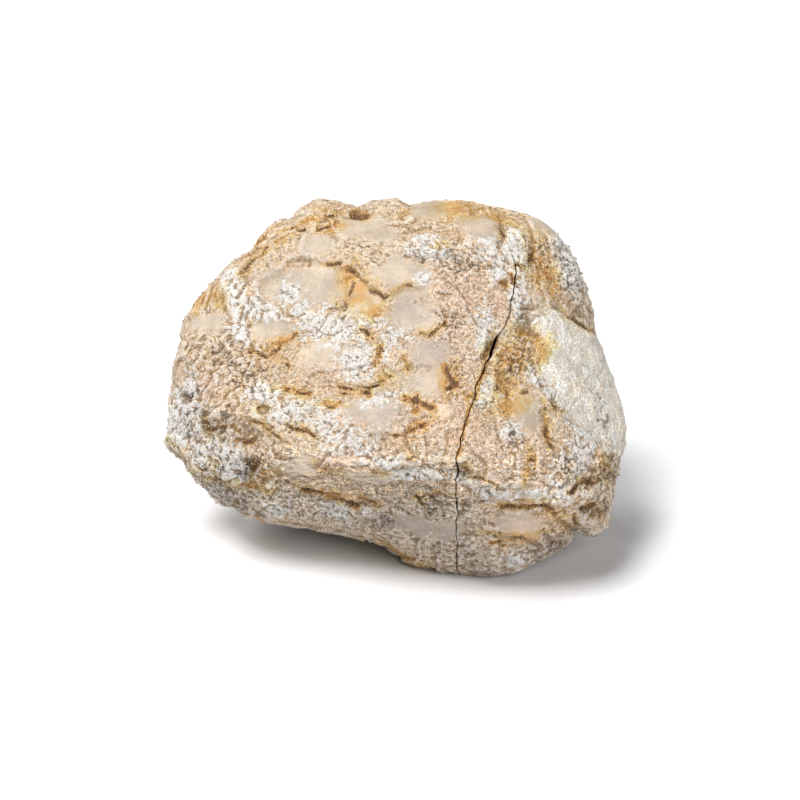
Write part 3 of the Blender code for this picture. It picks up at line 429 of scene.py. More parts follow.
# How each mineral is spread: its drawn ovals, then the size in millimetres of its random patches
# on the hidden sides, the share that they cover, how ragged its edges are and how wide, and the
# number of its random pattern.
MINERALS = {
    "window": (WINDOWS, 11, 0.20, 0.6, 0.60, 200),
    "frost": (FROST, 20, 0.14, 0.4, 0.30, 210),
    "chalk": (CHALK, 8, 0.22, 0.9, 0.90, 220),
    "rust": (RUST, 9, 0.12, 0.9, 0.90, 240),
    "umber": (UMBER, 6, 0.05, 1.0, 0.60, 260),
    "ash": (ASH, 16, 0.34, 0.6, 0.60, 280),
    "blush": (BLUSH, 18, 0.30, 0.6, 0.60, 300),
    "pitted": (PITTED, 12, 0.30, 0.8, 0.60, 320),
}

# The fields that are painted on the stone for its shader, three to a layer.
PAINTED = {
    "minerals": ("window", "chalk", "rust"),
    # Crevices, pits and hollows; the pits and hollows are also where shade is painted.
    "wear_and_shade": ("crevice", "pitted", "hollow"),
    "texture": ("glass_grain", "belt", "belt"),
}

# Colours, as linear red, green and blue.
TAN = (0.67, 0.465, 0.28)
CREAM = (0.70, 0.57, 0.41)
GLASSY = (0.44, 0.355, 0.27)
SMOKY = (0.31, 0.25, 0.21)
FROSTED = (0.77, 0.72, 0.63)
WHITE = (0.88, 0.865, 0.84)
ORANGE = (0.52, 0.22, 0.035)
BROWN = (0.09, 0.05, 0.025)
LINE = (0.11, 0.06, 0.025)
RUSTY_EDGE = (0.30, 0.11, 0.04)
GREY = (0.57, 0.50, 0.42)
PINK = (0.73, 0.51, 0.37)
# Dark brown: of dark grains, and of the grime and painted shade in hollows.
DIRT_AND_SHADE = (0.24, 0.14, 0.05)
UMBER_STAIN = (0.52, 0.2, 0.08)
STAIN = (0.93, 0.79, 0.36)
HONEY = (1.0, 0.88, 0.60)

# The stage, in metres.
FLOOR_COLOUR = (0.77, 0.77, 0.78, 1)
FLOOR_HALF = 3.0  # half the floor's side
GLOW = 0.05  # of the studio, from all around
# Square soft lights: name, place, size and power in watts.
LIGHTS = (
    ("key", (-0.75, -0.55, 2.0), 0.9, 59),
    ("back", (-1.25, 1.3, 1.35), 0.9, 25),
    ("fill", (1.2, -1.5, 1.05), 1.4, 30),
)


def to_frame(points):
    """Drawn points (across, up, near) to the stone's frame, both in millimetres."""
    across, up, near = points.T
    shrink = 1 - near / VIEW_DISTANCE
    x = across * shrink + CENTRE_SHIFT[0]
    y = -near * VIEW_COS + up * shrink * VIEW_SIN + CENTRE_SHIFT[1]
    z = near * VIEW_SIN + up * shrink * VIEW_COS + CENTRE_HEIGHT
    return np.stack([x, y, z], axis=1)


def break_across(y, z):
    """The break's x in the stone's frame at each y and z, and how far up and near that is drawn."""
    y = y - CENTRE_SHIFT[1]
    z = z - CENTRE_HEIGHT
    near = z * VIEW_SIN - y * VIEW_COS
    shrink = 1 - near / VIEW_DISTANCE
    up = (y * VIEW_SIN + z * VIEW_COS) / shrink
    ups, acrosses = np.array(BREAK_LINE).T
    across = np.interp(up, ups, acrosses)
    depth = np.clip((24 - near) / 60, 0, 1)
    sheet = np.stack([np.zeros_like(up), up, near], axis=1)
    across += depth * (2.4 * swell(sheet, 17, SEED + 30) - 3.0 * depth)
    across += np.minimum(depth * 4, 1) * 0.7 * swell(sheet, 6, SEED + 31)
    return across * shrink + CENTRE_SHIFT[0], up, near


def unit(vectors):
    """The same directions, 1 long."""
    return vectors / np.linalg.norm(vectors, axis=1)[:, None]


def outline_radius(angle):
    """The outline's distance from its centre in each direction."""
    corners = np.array(OUTLINE)
    corner_angle = np.arctan2(corners[:, 1], corners[:, 0])
    order = np.argsort(corner_angle)
    radius = np.hypot(corners[:, 0], corners[:, 1])[order]
    return np.interp(angle, corner_angle[order], radius, period=2 * math.pi)


def before_outline(points):
    """How far each point is in front of the leaning plane that holds the outline."""
    return points[:, 2] - OUTLINE_TILT * points[:, 1]


def fullness(points):
    """1 on the smooth stone's surface, less inside it and more outside."""
    across, up, near = points.T
    reach = np.hypot(across, up) / outline_radius(np.arctan2(up, across))
    depth = before_outline(points)
    half_depth = np.where(depth > 0, HALF_DEPTH_NEAR, HALF_DEPTH_FAR)
    dome = (reach**DOME_POWER + np.abs(depth / half_depth) ** DOME_POWER) ** (1 / DOME_POWER)
    terms = [dome]
    for faces, side in ((NEAR_FACES, 1), (FAR_FACES, -1)):
        for at_across, at_up, at_near, by_across, by_up in faces:
            face = at_near + by_across * (across - at_across) + by_up * (up - at_up)
            slope = math.sqrt(1 + by_across**2 + by_up**2)
            terms.append(1 + side * (near - face) / (FACET_SCALE * slope))
    top = np.max(terms, axis=0)
    total = sum(np.exp((term - top) / FACET_ROUNDING) for term in terms)
    return top + FACET_ROUNDING * np.log(total)


def surface_points(directions):
    """Where each ray from the drawing's centre leaves the smooth stone."""
    low = np.zeros(len(directions))
    high = np.full(len(directions), FARTHEST)
    for _ in range(HALVINGS):
        middle = (low + high) / 2
        inside = fullness(directions * middle[:, None]) < 1
        low = np.where(inside, middle, low)
        high = np.where(inside, high, middle)
    return directions * low[:, None]


def outward(points):
    """The smooth surface's unit normals."""
    base = fullness(points)
    slopes = [fullness(points + step) - base for step in np.eye(3) * 0.5]
    return unit(np.stack(slopes, axis=1))


def swell(points, size, seed):
    """Smooth random rises and falls from about -1 to 1, `size` mm apart."""
    rng = np.random.default_rng(seed)
    slopes = unit(rng.normal(size=(256, 3)))
    order = rng.permutation(256)
    at = points / size + rng.uniform(0, 64, 3)
    cell = np.floor(at).astype(int)
    part = at - cell
    ease = part**3 * (part * (part * 6 - 15) + 10)
    total = np.zeros(len(points))
    for step in product((0, 1), repeat=3):
        i, j, k = (cell + step).T
        slope = slopes[order[(order[(order[i & 255] + j) & 255] + k) & 255]]
        weight = np.prod(np.where(step, ease, 1 - ease), axis=1)
        total += weight * np.einsum("ij,ij->i", part - step, slope)
    return total * 1.6


def swells(points, seed, *waves):
    """Swells of several heights and sizes together. Each has the next seed."""
    return sum(height * swell(points, size, seed + i) for i, (height, size) in enumerate(waves))


def smooth_step(value, low, high):
    """0 below `low`, 1 above `high` and a smooth rise between."""
    part = np.clip((value - low) / (high - low), 0, 1)
    return part * part * (3 - 2 * part)


def line_distance(across, up, line):
    """Distance to a drawn line, and the side: 1 on its left and -1 on its right."""
    nearest = np.full(len(across), np.inf)
    side = np.ones(len(across))
    for (x0, y0), (x1, y1) in zip(line, line[1:]):
        dx, dy = x1 - x0, y1 - y0
        along = ((across - x0) * dx + (up - y0) * dy) / (dx * dx + dy * dy)
        along = np.clip(along, 0, 1)
        off_x, off_y = across - x0 - along * dx, up - y0 - along * dy
        distance = np.hypot(off_x, off_y)
        closer = distance < nearest
        nearest = np.where(closer, distance, nearest)
        side = np.where(closer, np.sign(dx * off_y - dy * off_x + 1e-9), side)
    return nearest, side


def strayed(points, seed, *waves):
    """Each point's place on the drawing, moved a little, so that what is drawn isn't even."""
    across = points[:, 0] + swells(points, seed, *waves)
    return across, points[:, 1] + swells(points, seed + len(waves), *waves)


def end_fade(across, up, line):
    """1 along a drawn line, and down to 0 at and beyond its two ends."""
    first, last = [np.hypot(across - x, up - y) for x, y in (line[0], line[-1])]
    return smooth_step(np.minimum(first, last), 0, STEP_END)


def oval_reach(across, up, oval):
    """0 in the middle of a drawn oval, 1 on its edge and more outside it."""
    middle_x, middle_y, half_x, half_y, *turn = oval
    turn = math.radians(sum(turn))
    cos, sin = math.cos(turn), math.sin(turn)
    dx, dy = across - middle_x, up - middle_y
    return np.hypot((dx * cos + dy * sin) / half_x, (dy * cos - dx * sin) / half_y)


def drawn_relief(points):
    """Height, in millimetres, of the grooves, steps and lumps of the display side, and how far
    each point is on that side, from 0 to 1."""
    across, up = strayed(points, SEED + 1, (0.8, 5), (0.4, 2.2))
    height = np.zeros(len(points))
    for half_width, depth, *line in GROOVES:
        distance, _ = line_distance(across, up, line)
        height -= GROOVE_DEPTH * depth * np.exp(-((distance / (GROOVE_WIDTH * half_width)) ** 2))
    for rise, reach, *line in STEPS:
        distance, side = line_distance(across, up, line)
        shape = np.tanh(side * distance / STEP_WIDTH) * np.exp(-distance / reach)
        height += STEP_HEIGHT * rise * shape * end_fade(across, up, line)
    for *oval, sharpness, rise in LUMPS:
        height += rise * np.exp(-(oval_reach(across, up, oval) ** (2 * sharpness)))
    facing = smooth_step(before_outline(points), -5, 1)
    return height * facing, facing


def rough_relief(points):
    """Height, in millimetres, of the lumps, terraces and cracks that are all over the stone."""
    height = swells(points, SEED + 10, (1.1, 21), (0.8, 9))
    height *= 1 - 0.8 * np.exp(-((before_outline(points) / 9) ** 2))
    height += 0.35 * swell(points, 4.5, SEED + 12)
    level = swells(points, SEED + 13, (2.6, 24), (0.3, 5))
    terrace = np.floor(level) + smooth_step(level - np.floor(level), 0.42, 0.58) - level
    height += TERRACE_HEIGHT * terrace
    crack = swells(points, SEED + 15, (1, 16), (0.15, 4))
    open_here = smooth_step(swell(points, 19, SEED + 17), 0.0, 0.25)
    return height - CRACK_DEPTH * open_here * np.exp(-((crack / 0.05) ** 2))


def cube_sphere(steps):
    """Unit vectors and quads of a cube's grid blown up to a ball."""
    mesh = bmesh.new()
    bmesh.ops.create_cube(mesh, size=2)
    bmesh.ops.subdivide_edges(mesh, edges=mesh.edges[:], cuts=steps - 1, use_grid_fill=True)
    corners = np.array([vert.co for vert in mesh.verts])
    quads = [[vert.index for vert in face.verts] for face in mesh.faces]
    mesh.free()
    return unit(np.tan(corners * (math.pi / 4))), quads


def mixed(base, other, share):
    """Colours `base` moved towards `other` by `share`, point by point."""
    return base + (np.asarray(other) - base) * share.reshape(-1, 1)


def all_over(points, colour):
    """One colour for all of the points."""
    return np.tile(colour, (len(points), 1))


def ragged_field(points, seed):
    """Noise of every size from 4 mm down, which breaks up the edges of the patches."""
    return swells(points, seed, (0.5, 4), (0.4, 1.8), (0.35, 0.9))


def drawn_field(points, ovals, seed, ragged, edge):
    """0.5 on the ragged edges of the drawn ovals, up to 1 inside them and down to 0 outside."""
    across, up = strayed(points, seed, (1.2, 6))
    reach = np.minimum.reduce([oval_reach(across, up, oval) for oval in ovals])
    field = 1.1 - reach + ragged * ragged_field(points, seed + 2)
    return np.clip(0.5 + field / (2 * edge), 0, 1)


def wild_field(points, size, share, seed, ragged, edge):
    """The same for ragged patches that cover about `share` of the stone."""
    field = swells(points, seed, (1.5, size), (0.6, size / 2.5))
    field += 0.6 * ragged * ragged_field(points, seed + 2)
    return np.clip(0.5 + (field - np.quantile(field, 1 - share)) / (2 * edge), 0, 1)


def crust_fields(points, facing):
    """Where each mineral is, 0.5 on its edges: as drawn where the stone faces the viewer."""
    fields = {}
    for name, (ovals, size, share, ragged, edge, seed) in MINERALS.items():
        drawn = drawn_field(points, ovals, seed, ragged, edge)
        wild = wild_field(points, size, share, seed + 10, ragged, edge)
        fields[name] = drawn * facing + wild * (1 - facing)
    return fields


def crevice_shape(points, facing, crevices, seed):
    """Depth of the drawn crevices, in millimetres, and how near each point is to one: to its
    line, and to its stained sides."""
    across, up = strayed(points, seed, (0.5, 2.5))
    open_here = np.clip(0.6 + 1.3 * swell(points, 3.5, seed + 2), 0.15, 1)
    depth, nearness, stained = np.zeros((3, len(points)))
    for half_width, deep, *line in crevices:
        distance, _ = line_distance(across, up, line)
        sunk = 1 - smooth_step(distance, 0.3 * half_width, 1.3 * half_width)
        depth = np.maximum(depth, deep * sunk)
        nearness = np.maximum(nearness, 1 - distance / CREVICE_REACH + 0.3 * (half_width - 0.5))
        stained = np.maximum(stained, 1.25 - 0.8 * np.maximum(distance / half_width - 0.5, 0))
    nearness = nearness * facing * (0.73 + 0.27 * open_here)
    return CREVICE_DEPTH * depth * open_here * facing, nearness, stained * facing


def cells(points, size, seed):
    """Split the stone into uneven cells: each point's place in its cell, and three random
    numbers that all the points of a cell share."""
    scaled = points / size + 17.3 * seed
    middles = np.array([noise.voronoi(Vector(spot))[1][0][:] for spot in scaled])
    blend = np.sin(middles @ ((12.99, 39.35, 73.16), (78.23, 11.14, 83.16), (37.72, 94.67, 52.24)))
    return (scaled - middles) * size, np.modf(np.abs(blend) * 4375.85)[0]


def facets(points, size, seed, steepness, step):
    """Height of a surface broken into flat crystal faces, each leaning its own way."""
    inside, chance = cells(points, size, seed)
    lean = ((chance - 0.5) * inside).sum(axis=1) * 2 * steepness
    return lean + (chance[:, 0] - 0.5) * step


def fine_relief(points, fields):
    """Height, in millimetres, of what is too small for the solids."""
    smooth = smooth_step(np.maximum(fields["window"], fields["frost"]), 0.35, 0.65)
    chalk = smooth_step(fields["chalk"], 0.4, 0.6)
    rough = 1 - 0.93 * smooth
    coarse = rough * (0.25 + 0.75 * np.maximum(fields["pitted"], 0.7 * fields["ash"]))
    height = rough * 0.20 * swell(points, 3.4, 400)
    height += coarse * (facets(points, 2.3, 1, 0.30, 0.30) + facets(points, 1.15, 2, 0.40, 0.30))
    belt = smooth_step(-points[:, 1], 12, 17) * 0.8 + 0.2
    height += LAYER_HEIGHT * belt * swell(points * LAYER_SQUASH, 0.9, 403)
    open_share = 0.62 - 0.24 * fields["pitted"]
    pores = smooth_step(swell(points, 1.1, 404), open_share, open_share + 0.14)
    height -= PORE_DEPTH * pores * rough
    height += 0.08 * smooth * swell(points, 5, 406)
    height += chalk * (0.12 + facets(points, 1.7, 3, 0.3, 0.25))
    return height - 0.3 * fields["umber"] * (1 + swell(points, 1.2, 408))


def crust_colours(points, fields):
    """The colours of the grainy crust and of the smooth calcite at each point."""
    blotch = swell(points, 6, 501) + 0.5 * swell(points, 2.2, 500)
    crust = mixed(all_over(points, TAN), CREAM, np.clip(0.35 + 0.7 * blotch, 0, 1))
    crust = mixed(crust, PINK, 0.6 * fields["blush"])
    crust = mixed(crust, GREY, 0.6 * fields["ash"])
    crust = mixed(crust, BROWN, 0.5 * fields["umber"])
    glass = mixed(all_over(points, GLASSY), PINK, 0.3 * fields["blush"])
    glass = mixed(glass, SMOKY, 0.85 * fields["ash"])
    glass = mixed(glass, CREAM, 0.4 * np.clip(swell(points, 9, 503) * 1.5, 0, 1))
    frosted = all_over(points, FROSTED)
    for colour, share, size, seed, low, high in (
        (SMOKY, 0.35, 1.7, 504, 0.1, 0.6),
        (CREAM, 0.4, 3.5, 506, 0.0, 0.5),
        (WHITE, 0.7, 2.1, 505, 0.2, 0.5),
    ):
        frosted = mixed(frosted, colour, share * smooth_step(swell(points, size, seed), low, high))
    return crust, mixed(glass, frosted, smooth_step(fields["frost"], 0.35, 0.65))


def hollowness(points, normals, quads):
    """How far each point lies below its surroundings, in millimetres."""
    around = points
    starts = quads.ravel()
    ends = np.roll(quads, -1, axis=1).ravel()
    count = np.bincount(starts, minlength=len(points))
    for _ in range(HOLLOW_ROUNDS):
        sums = [np.bincount(starts, around[ends, axis], len(points)) for axis in range(3)]
        around = np.stack(sums, axis=1) / count[:, None]
    return ((around - points) * normals).sum(axis=1)


def paint(mesh, name, colour):
    """Store a colour for each of the mesh's points. Its alpha of 1 marks the crust."""
    layer = mesh.attributes.new(name, "FLOAT_COLOR", "POINT")
    layer.data.foreach_set("color", np.column_stack([colour, np.ones(len(colour))]).ravel())


def painted(mesh, name):
    """The colours stored for the mesh's points, with alpha."""
    colour = np.empty(len(mesh.vertices) * 4, np.float32)
    mesh.attributes[name].data.foreach_get("color", colour)
    return colour.reshape(-1, 4)


def paint_layers(mesh, crust, glass, fields):
    """Paint what the shader reads: the two colours, and the fields in layers of three."""
    paint(mesh, "crust", crust)
    paint(mesh, "glass", glass)
    for layer, names in PAINTED.items():
        values = np.stack([fields[name] for name in names], axis=1)
        paint(mesh, layer, np.clip(values, 0, 1))


def new_mesh(name, corners, faces):
    """A mesh of the given corners and faces."""
    mesh = bpy.data.meshes.new(name)
    mesh.from_pydata(corners, [], faces)
    return mesh


def skin_mesh():
    """The whole stone's fine skin, in the frame and in millimetres, with its crust painted on."""
    directions, quads = cube_sphere(SPHERE_STEPS)
    smooth = surface_points(unit(directions + (0, 0, NEAR_CROWDING)))
    normals = outward(smooth)
    drawn, facing = drawn_relief(smooth)
    fields = crust_fields(smooth, facing)
    even = smooth_step(np.maximum(fields["window"], fields["frost"]), 0.3, 0.7) * facing
    rough = rough_relief(smooth) * (1 - DISPLAY_CALM * facing) * (1 - WINDOW_CALM * even)
    coarse = smooth + normals * (drawn + rough)[:, None]
    dark, near_dark, _ = crevice_shape(coarse, facing, DARK_CREVICES, 600)
    rusty, near_rusty, stained = crevice_shape(coarse, facing, RUSTY_CREVICES, 610)
    fine = coarse + normals * (fine_relief(coarse, fields) - np.maximum(dark, rusty))[:, None]

    # Deep drawn grooves count as hollower, for more grime and painted shade.
    sunk = smooth_step(-drawn, 0.9, 1.8) * facing
    belt = smooth_step(-fine[:, 1], 9, 13) * smooth_step(fine[:, 1], -29, -22)
    rust = [0.95 * fields["rust"], np.clip(stained, 0, 1), np.clip(near_dark - 0.1, 0, 1)]
    crust, glass = crust_colours(coarse, fields)
    fields.update(
        window=np.maximum(fields["window"], fields["frost"]),
        rust=np.maximum.reduce(rust),
        crevice=np.maximum(near_dark, near_rusty - 0.02),
        # The hollow field: grime and painted shade in hollows, and a painted highlight on ridges.
        hollow=0.5 + hollowness(fine, normals, np.array(quads)) / 0.5 + 0.1 * sunk,
        glass_grain=0.16 + 0.6 * smooth_step(fields["frost"], 0.3, 0.6),
        belt=belt * facing,
    )
    corners = to_frame(fine)
    corners[:, 2] = np.maximum(corners[:, 2], 0)
    mesh = new_mesh("skin", corners.tolist(), quads)
    paint_layers(mesh, crust, glass, fields)
    return mesh


def mesh_points(mesh):
    """The mesh's points, as an array."""
    points = np.empty(len(mesh.vertices) * 3, np.float32)
    mesh.vertices.foreach_get("co", points)
    return points.reshape(-1, 3).astype(float)


def crack_across(y, z):
    """The break as it is seen, with the small jogs of its edge."""
    across, up, near = break_across(y, z)
    sheet = np.stack([np.zeros_like(up), up, near], axis=1)
    return across + 0.45 * swell(sheet, 3.2, 620) + 0.2 * swell(sheet, 1.3, 621), up, near


def chip_depth(up, near):
    """How far the smaller piece's edge is set back."""
    depth = np.zeros_like(up)
    for middle, half_length, set_back in CHIPS:
        depth += set_back * np.exp(-(((up - middle) / half_length) ** 4))
    return depth * smooth_step(near, 12, 20)


def fill_break(mesh, cut_edges):
    """Close the cut, at x = 0, with an even sheet of triangles."""
    rim = list({vert for edge in cut_edges for vert in edge.verts})
    number = {vert: index for index, vert in enumerate(rim)}
    flat = [Vector((vert.co.y, vert.co.z)) for vert in rim]
    edges = [tuple(number[vert] for vert in edge.verts) for edge in cut_edges]
    rim_points = np.array(flat)
    low, high = rim_points.min(axis=0), rim_points.max(axis=0)
    row_step = BREAK_FACE_STEP * 0.87  # makes the triangles nearly even
    rim_gap = BREAK_FACE_STEP * 0.45
    for count, row in enumerate(np.arange(low[1], high[1], row_step)):
        start = low[0] + BREAK_FACE_STEP * (0.5 if count % 2 else 0.0)
        for place in np.arange(start, high[0], BREAK_FACE_STEP):
            if np.hypot(*(rim_points - (place, row)).T).min() > rim_gap:
                flat.append(Vector((place, row)))
    points, _, faces, sources, _, _ = delaunay_2d_cdt(flat, edges, [], 1, 1e-5)
    corners = {}
    for face in faces:
        for index in face:
            if index not in corners:
                old = [source for source in sources[index] if source < len(rim)]
                y, z = points[index]
                corners[index] = rim[old[0]] if old else mesh.verts.new((0, y, z))
        mesh.faces.new([corners[index] for index in face])
    bmesh.ops.recalc_face_normals(mesh, faces=mesh.faces[:])


def cut_skin(name, skin, side):
    """What the skin has left (side -1) or right (side 1) of the break, pushed until the break is
    the plane x = 0, and closed there."""
    mesh = bmesh.new()
    mesh.from_mesh(skin)
    corners = mesh_points(skin)
    across, _, _ = crack_across(corners[:, 1], corners[:, 2])
    for vert, shift in zip(mesh.verts, across):
        vert.co.x -= shift
    cut = bmesh.ops.bisect_plane(
        mesh, geom=mesh.verts[:] + mesh.edges[:] + mesh.faces[:], dist=1e-5,
        plane_co=(0, 0, 0), plane_no=(side, 0, 0), clear_inner=True)
    cut_edges = [item for item in cut["geom_cut"] if isinstance(item, bmesh.types.BMEdge)]
    fill_break(mesh, cut_edges)
    bmesh.ops.triangulate(mesh, faces=mesh.faces[:])
    data = bpy.data.meshes.new(name)
    mesh.to_mesh(data)
    mesh.free()
    return data


def add_object(name, data):
    """Put a mesh, a camera or a light in the scene."""
    made = bpy.data.objects.new(name, data)
    bpy.context.collection.objects.link(made)
    return made


def stone_piece(name, node, skin, side, material):
    """One piece of the stone: what is left (side -1) or right (side 1) of the break."""
    data = cut_skin(name, skin, side)
    corners = mesh_points(data)
    across, up, near = crack_across(corners[:, 1], corners[:, 2])
    bare = painted(data, "crust")[:, 3] < 0.5
    spots = np.stack([up, near], axis=1)
    on_cut = np.abs(corners[:, 0]) < 0.01
    rim = spots[~bare & on_cut]
    buried = np.zeros(len(corners))
    buried[bare] = [np.hypot(*(rim - spot).T).min() for spot in spots[bare]]
    back = np.interp(up, *CRACK_WIDTHS) / 2
    if side > 0:
        notch = CHIP_SHARE * chip_depth(up, near) * np.exp(-((buried / CHIP_THICKNESS) ** 2))
        back = back + notch * np.exp(-corners[:, 0] / CHIP_REACH)
    corners[:, 0] += across + side * back
    data.vertices.foreach_set("co", (corners * MM).astype(np.float32).ravel())
    paint_break(data, np.stack([across, up, near], axis=1), buried)
    data.materials.append(material)
    data.shade_smooth()
    piece = add_object(name, data)
    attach(piece, "root")
    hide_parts(node)
    return piece


def paint_break(data, points, buried):
    """Paint the broken face, which has no crust yet: clean grains, stained near its rim."""
    bare = painted(data, "crust")[:, 3] < 0.5
    inside = points[bare]
    white = np.clip(0.3 + 0.6 * swell(inside, 1.2, 600), 0, 1)
    colour = mixed(all_over(inside, CREAM), WHITE, white)
    colour = mixed(colour, TAN, smooth_step(swell(inside, 9, 601), 0.0, 0.5) * 0.6)
    edge = np.exp(-((buried[bare] / STAINED_DEPTH) ** 2))
    colour = mixed(colour, UMBER_STAIN, 0.8 * edge)
    rust = np.maximum(0.5 * smooth_step(swell(inside, 5, 602), 0.1, 0.5), edge)
    plain = np.zeros(len(inside))
    fields = {"rust": rust, "hollow": plain + 0.5, "glass_grain": plain + 0.5}
    values = {"crust": colour, "glass": colour}
    for layer, names in PAINTED.items():
        values[layer] = np.stack([fields.get(name, plain) for name in names], axis=1)
    for name, value in values.items():
        layer = painted(data, name)
        layer[bare, :3] = value
        layer[:, 3] = 1
        data.attributes[name].data.foreach_set("color", layer.ravel())


class Value:
    """What a node puts out. Adding, subtracting or multiplying it makes another node."""

    def __init__(self, socket):
        self.socket = socket
        self.tree = socket.id_data

    def __add__(self, other):
        return maths("ADD", self, other)

    def __sub__(self, other):
        return maths("SUBTRACT", self, other)

    def __mul__(self, other):
        return maths("MULTIPLY", self, other)


def add_node(tree, kind, inputs, **settings):
    """Add a node and give its outputs. Each input is a plain number or colour, or a Value."""
    made = tree.nodes.new("ShaderNode" + kind)
    for name, value in settings.items():
        setattr(made, name, value)
    for name, value in inputs.items():
        if isinstance(value, Value):
            tree.links.new(value.socket, made.inputs[name])
        else:
            made.inputs[name].default_value = value
    return made.outputs


def maths(operation, first, second):
    """The result of one step of maths."""
    return Value(add_node(first.tree, "Math", {0: first, 1: second}, operation=operation)[0])


def vector_maths(operation, first, second, output="Vector"):
    """The result of one step of maths with vectors or colours."""
    inputs = {0: first, 1: second}
    return Value(add_node(first.tree, "VectorMath", inputs, operation=operation)[output])


def scaled(vector, share):
    """A vector or a colour times a number."""
    inputs = {"Vector": vector, "Scale": share}
    return Value(add_node(vector.tree, "VectorMath", inputs, operation="SCALE")["Vector"])


def fade(value, low, high, start=0.0, end=1.0):
    """A value that goes from `start` to `end` while `value` goes from `low` to `high`."""
    span = {"Value": value, "From Min": low, "From Max": high, "To Min": start, "To Max": end}
    return Value(add_node(value.tree, "MapRange", span)["Result"])


def over(under, colour, share, blend="MIX"):
    """The colour `under`, with a plain or a made colour laid over it."""
    if not isinstance(colour, Value):
        colour = (*colour, 1)
    inputs = {0: share, 6: under, 7: colour}
    return Value(add_node(under.tree, "Mix", inputs, data_type="RGBA", blend_type=blend)[2])


def patch(field, grit, ragged, soft, edge=0.5):
    """1 inside a patch and 0 outside it. Its edge, where `field` is about `edge`, is broken up by
    the noise `grit` and is `soft` wide. If `soft` is below 0, inside and outside change places."""
    middle = edge + ragged / 2
    return fade(grit * ragged + field, middle - soft, middle + soft)


def noise_field(place, scale, detail):
    """Noise of about 0.5, with `scale` waves a metre."""
    inputs = {"Vector": place, "Scale": scale, "Detail": detail, "Roughness": 0.6}
    return Value(add_node(place.tree, "TexNoise", inputs)["Fac"])


def parts(colour):
    """The three values of a colour."""
    return [Value(part) for part in add_node(colour.tree, "SeparateColor", {"Color": colour})]


def painted_colour(tree, name):
    """The colours painted on the mesh under one name."""
    return Value(add_node(tree, "Attribute", {}, attribute_name=name)["Color"])


def crust_values(tree):
    """What the shader works from: the painted layers, noise of three sizes, and the grains."""
    place = Value(add_node(tree, "TexCoord", {})["Object"])
    inputs = {"Vector": place, "Scale": GRAINS_PER_METRE}
    grain = add_node(tree, "TexVoronoi", inputs)
    border = add_node(tree, "TexVoronoi", inputs, feature="DISTANCE_TO_EDGE")
    values = {
        "place": place,
        "crust": painted_colour(tree, "crust"),
        "glass": painted_colour(tree, "glass"),
        "fine": noise_field(place, 2200.0, 3.0),
        "medium": noise_field(place, 650.0, 4.0),
        "broad": noise_field(place, 210.0, 3.0),
        "border": Value(border["Distance"]),
        "grain_colour": Value(grain["Color"]),
        "grain_place": Value(grain["Position"]),
    }
    for layer, names in PAINTED.items():
        values.update(zip(names, parts(painted_colour(tree, layer))))
    return SimpleNamespace(**values)


def clean_colour(at):
    """The grainy crust with its windows and chalk, before it is stained. Also gives the windows'
    share, and how rough it is: from a window's grain up to 1."""
    grain_chance, white_chance, dirt_chance = parts(at.grain_colour)
    shade = fade(grain_chance, 0, 1, 0.80, 1.46) * fade(at.fine, 0.3, 0.7, 0.74, 1.26)
    # Darker at each grain's border: painted shade between the grains.
    shade *= fade(at.border, 0, 0.14, 0.62, 1.0)
    shade = (shade - 1.0) * (at.belt * 0.6 + 1.0) + 1.0
    streaks = noise_field(vector_maths("MULTIPLY", at.place, LAYERS), 420.0, 4.0)
    layered = fade(streaks, 0.35, 0.65, -0.42, 0.42) * at.belt + 1.0
    grainy = scaled(at.crust, shade * layered)
    grainy = over(grainy, WHITE, fade(white_chance, 0.84, 0.88, 0, 0.3))
    grainy = over(grainy, DIRT_AND_SHADE, fade(dirt_chance, 0.90, 0.92, 0, 0.5))
    clouds = fade(at.broad, 0.35, 0.65, 0.85, 1.12) * layered
    glassy = scaled(at.glass, clouds * ((shade - 1.0) * at.glass_grain + 1.0))
    window = patch(at.window, at.medium, ragged=1.8, soft=0.25)
    chalk = patch(at.chalk, at.medium, ragged=3.4, soft=0.15)
    colour = over(grainy, glassy, window)
    colour = over(colour, WHITE, chalk * fade(shade, 0.55, 1.2, 0.35, 0.98))
    calm = window * fade(chalk, 0, 1, 1, 0)
    return colour, window, fade(calm, 0, 1, 1, at.glass_grain)


def stained_colour(at, colour):
    """The colour with rust on it: honey around each stain, and orange in its core."""
    stain = patch(at.rust, at.medium, ragged=3.0, soft=0.25, edge=0.56)
    core = patch(at.rust, at.fine, ragged=2.0, soft=0.1, edge=0.88)
    colour = over(colour, HONEY, fade(at.rust, 0.2, 0.65, 0, 0.55), "MULTIPLY")
    colour = over(colour, STAIN, stain * 0.8, "MULTIPLY")
    return over(colour, ORANGE, core * 0.8)


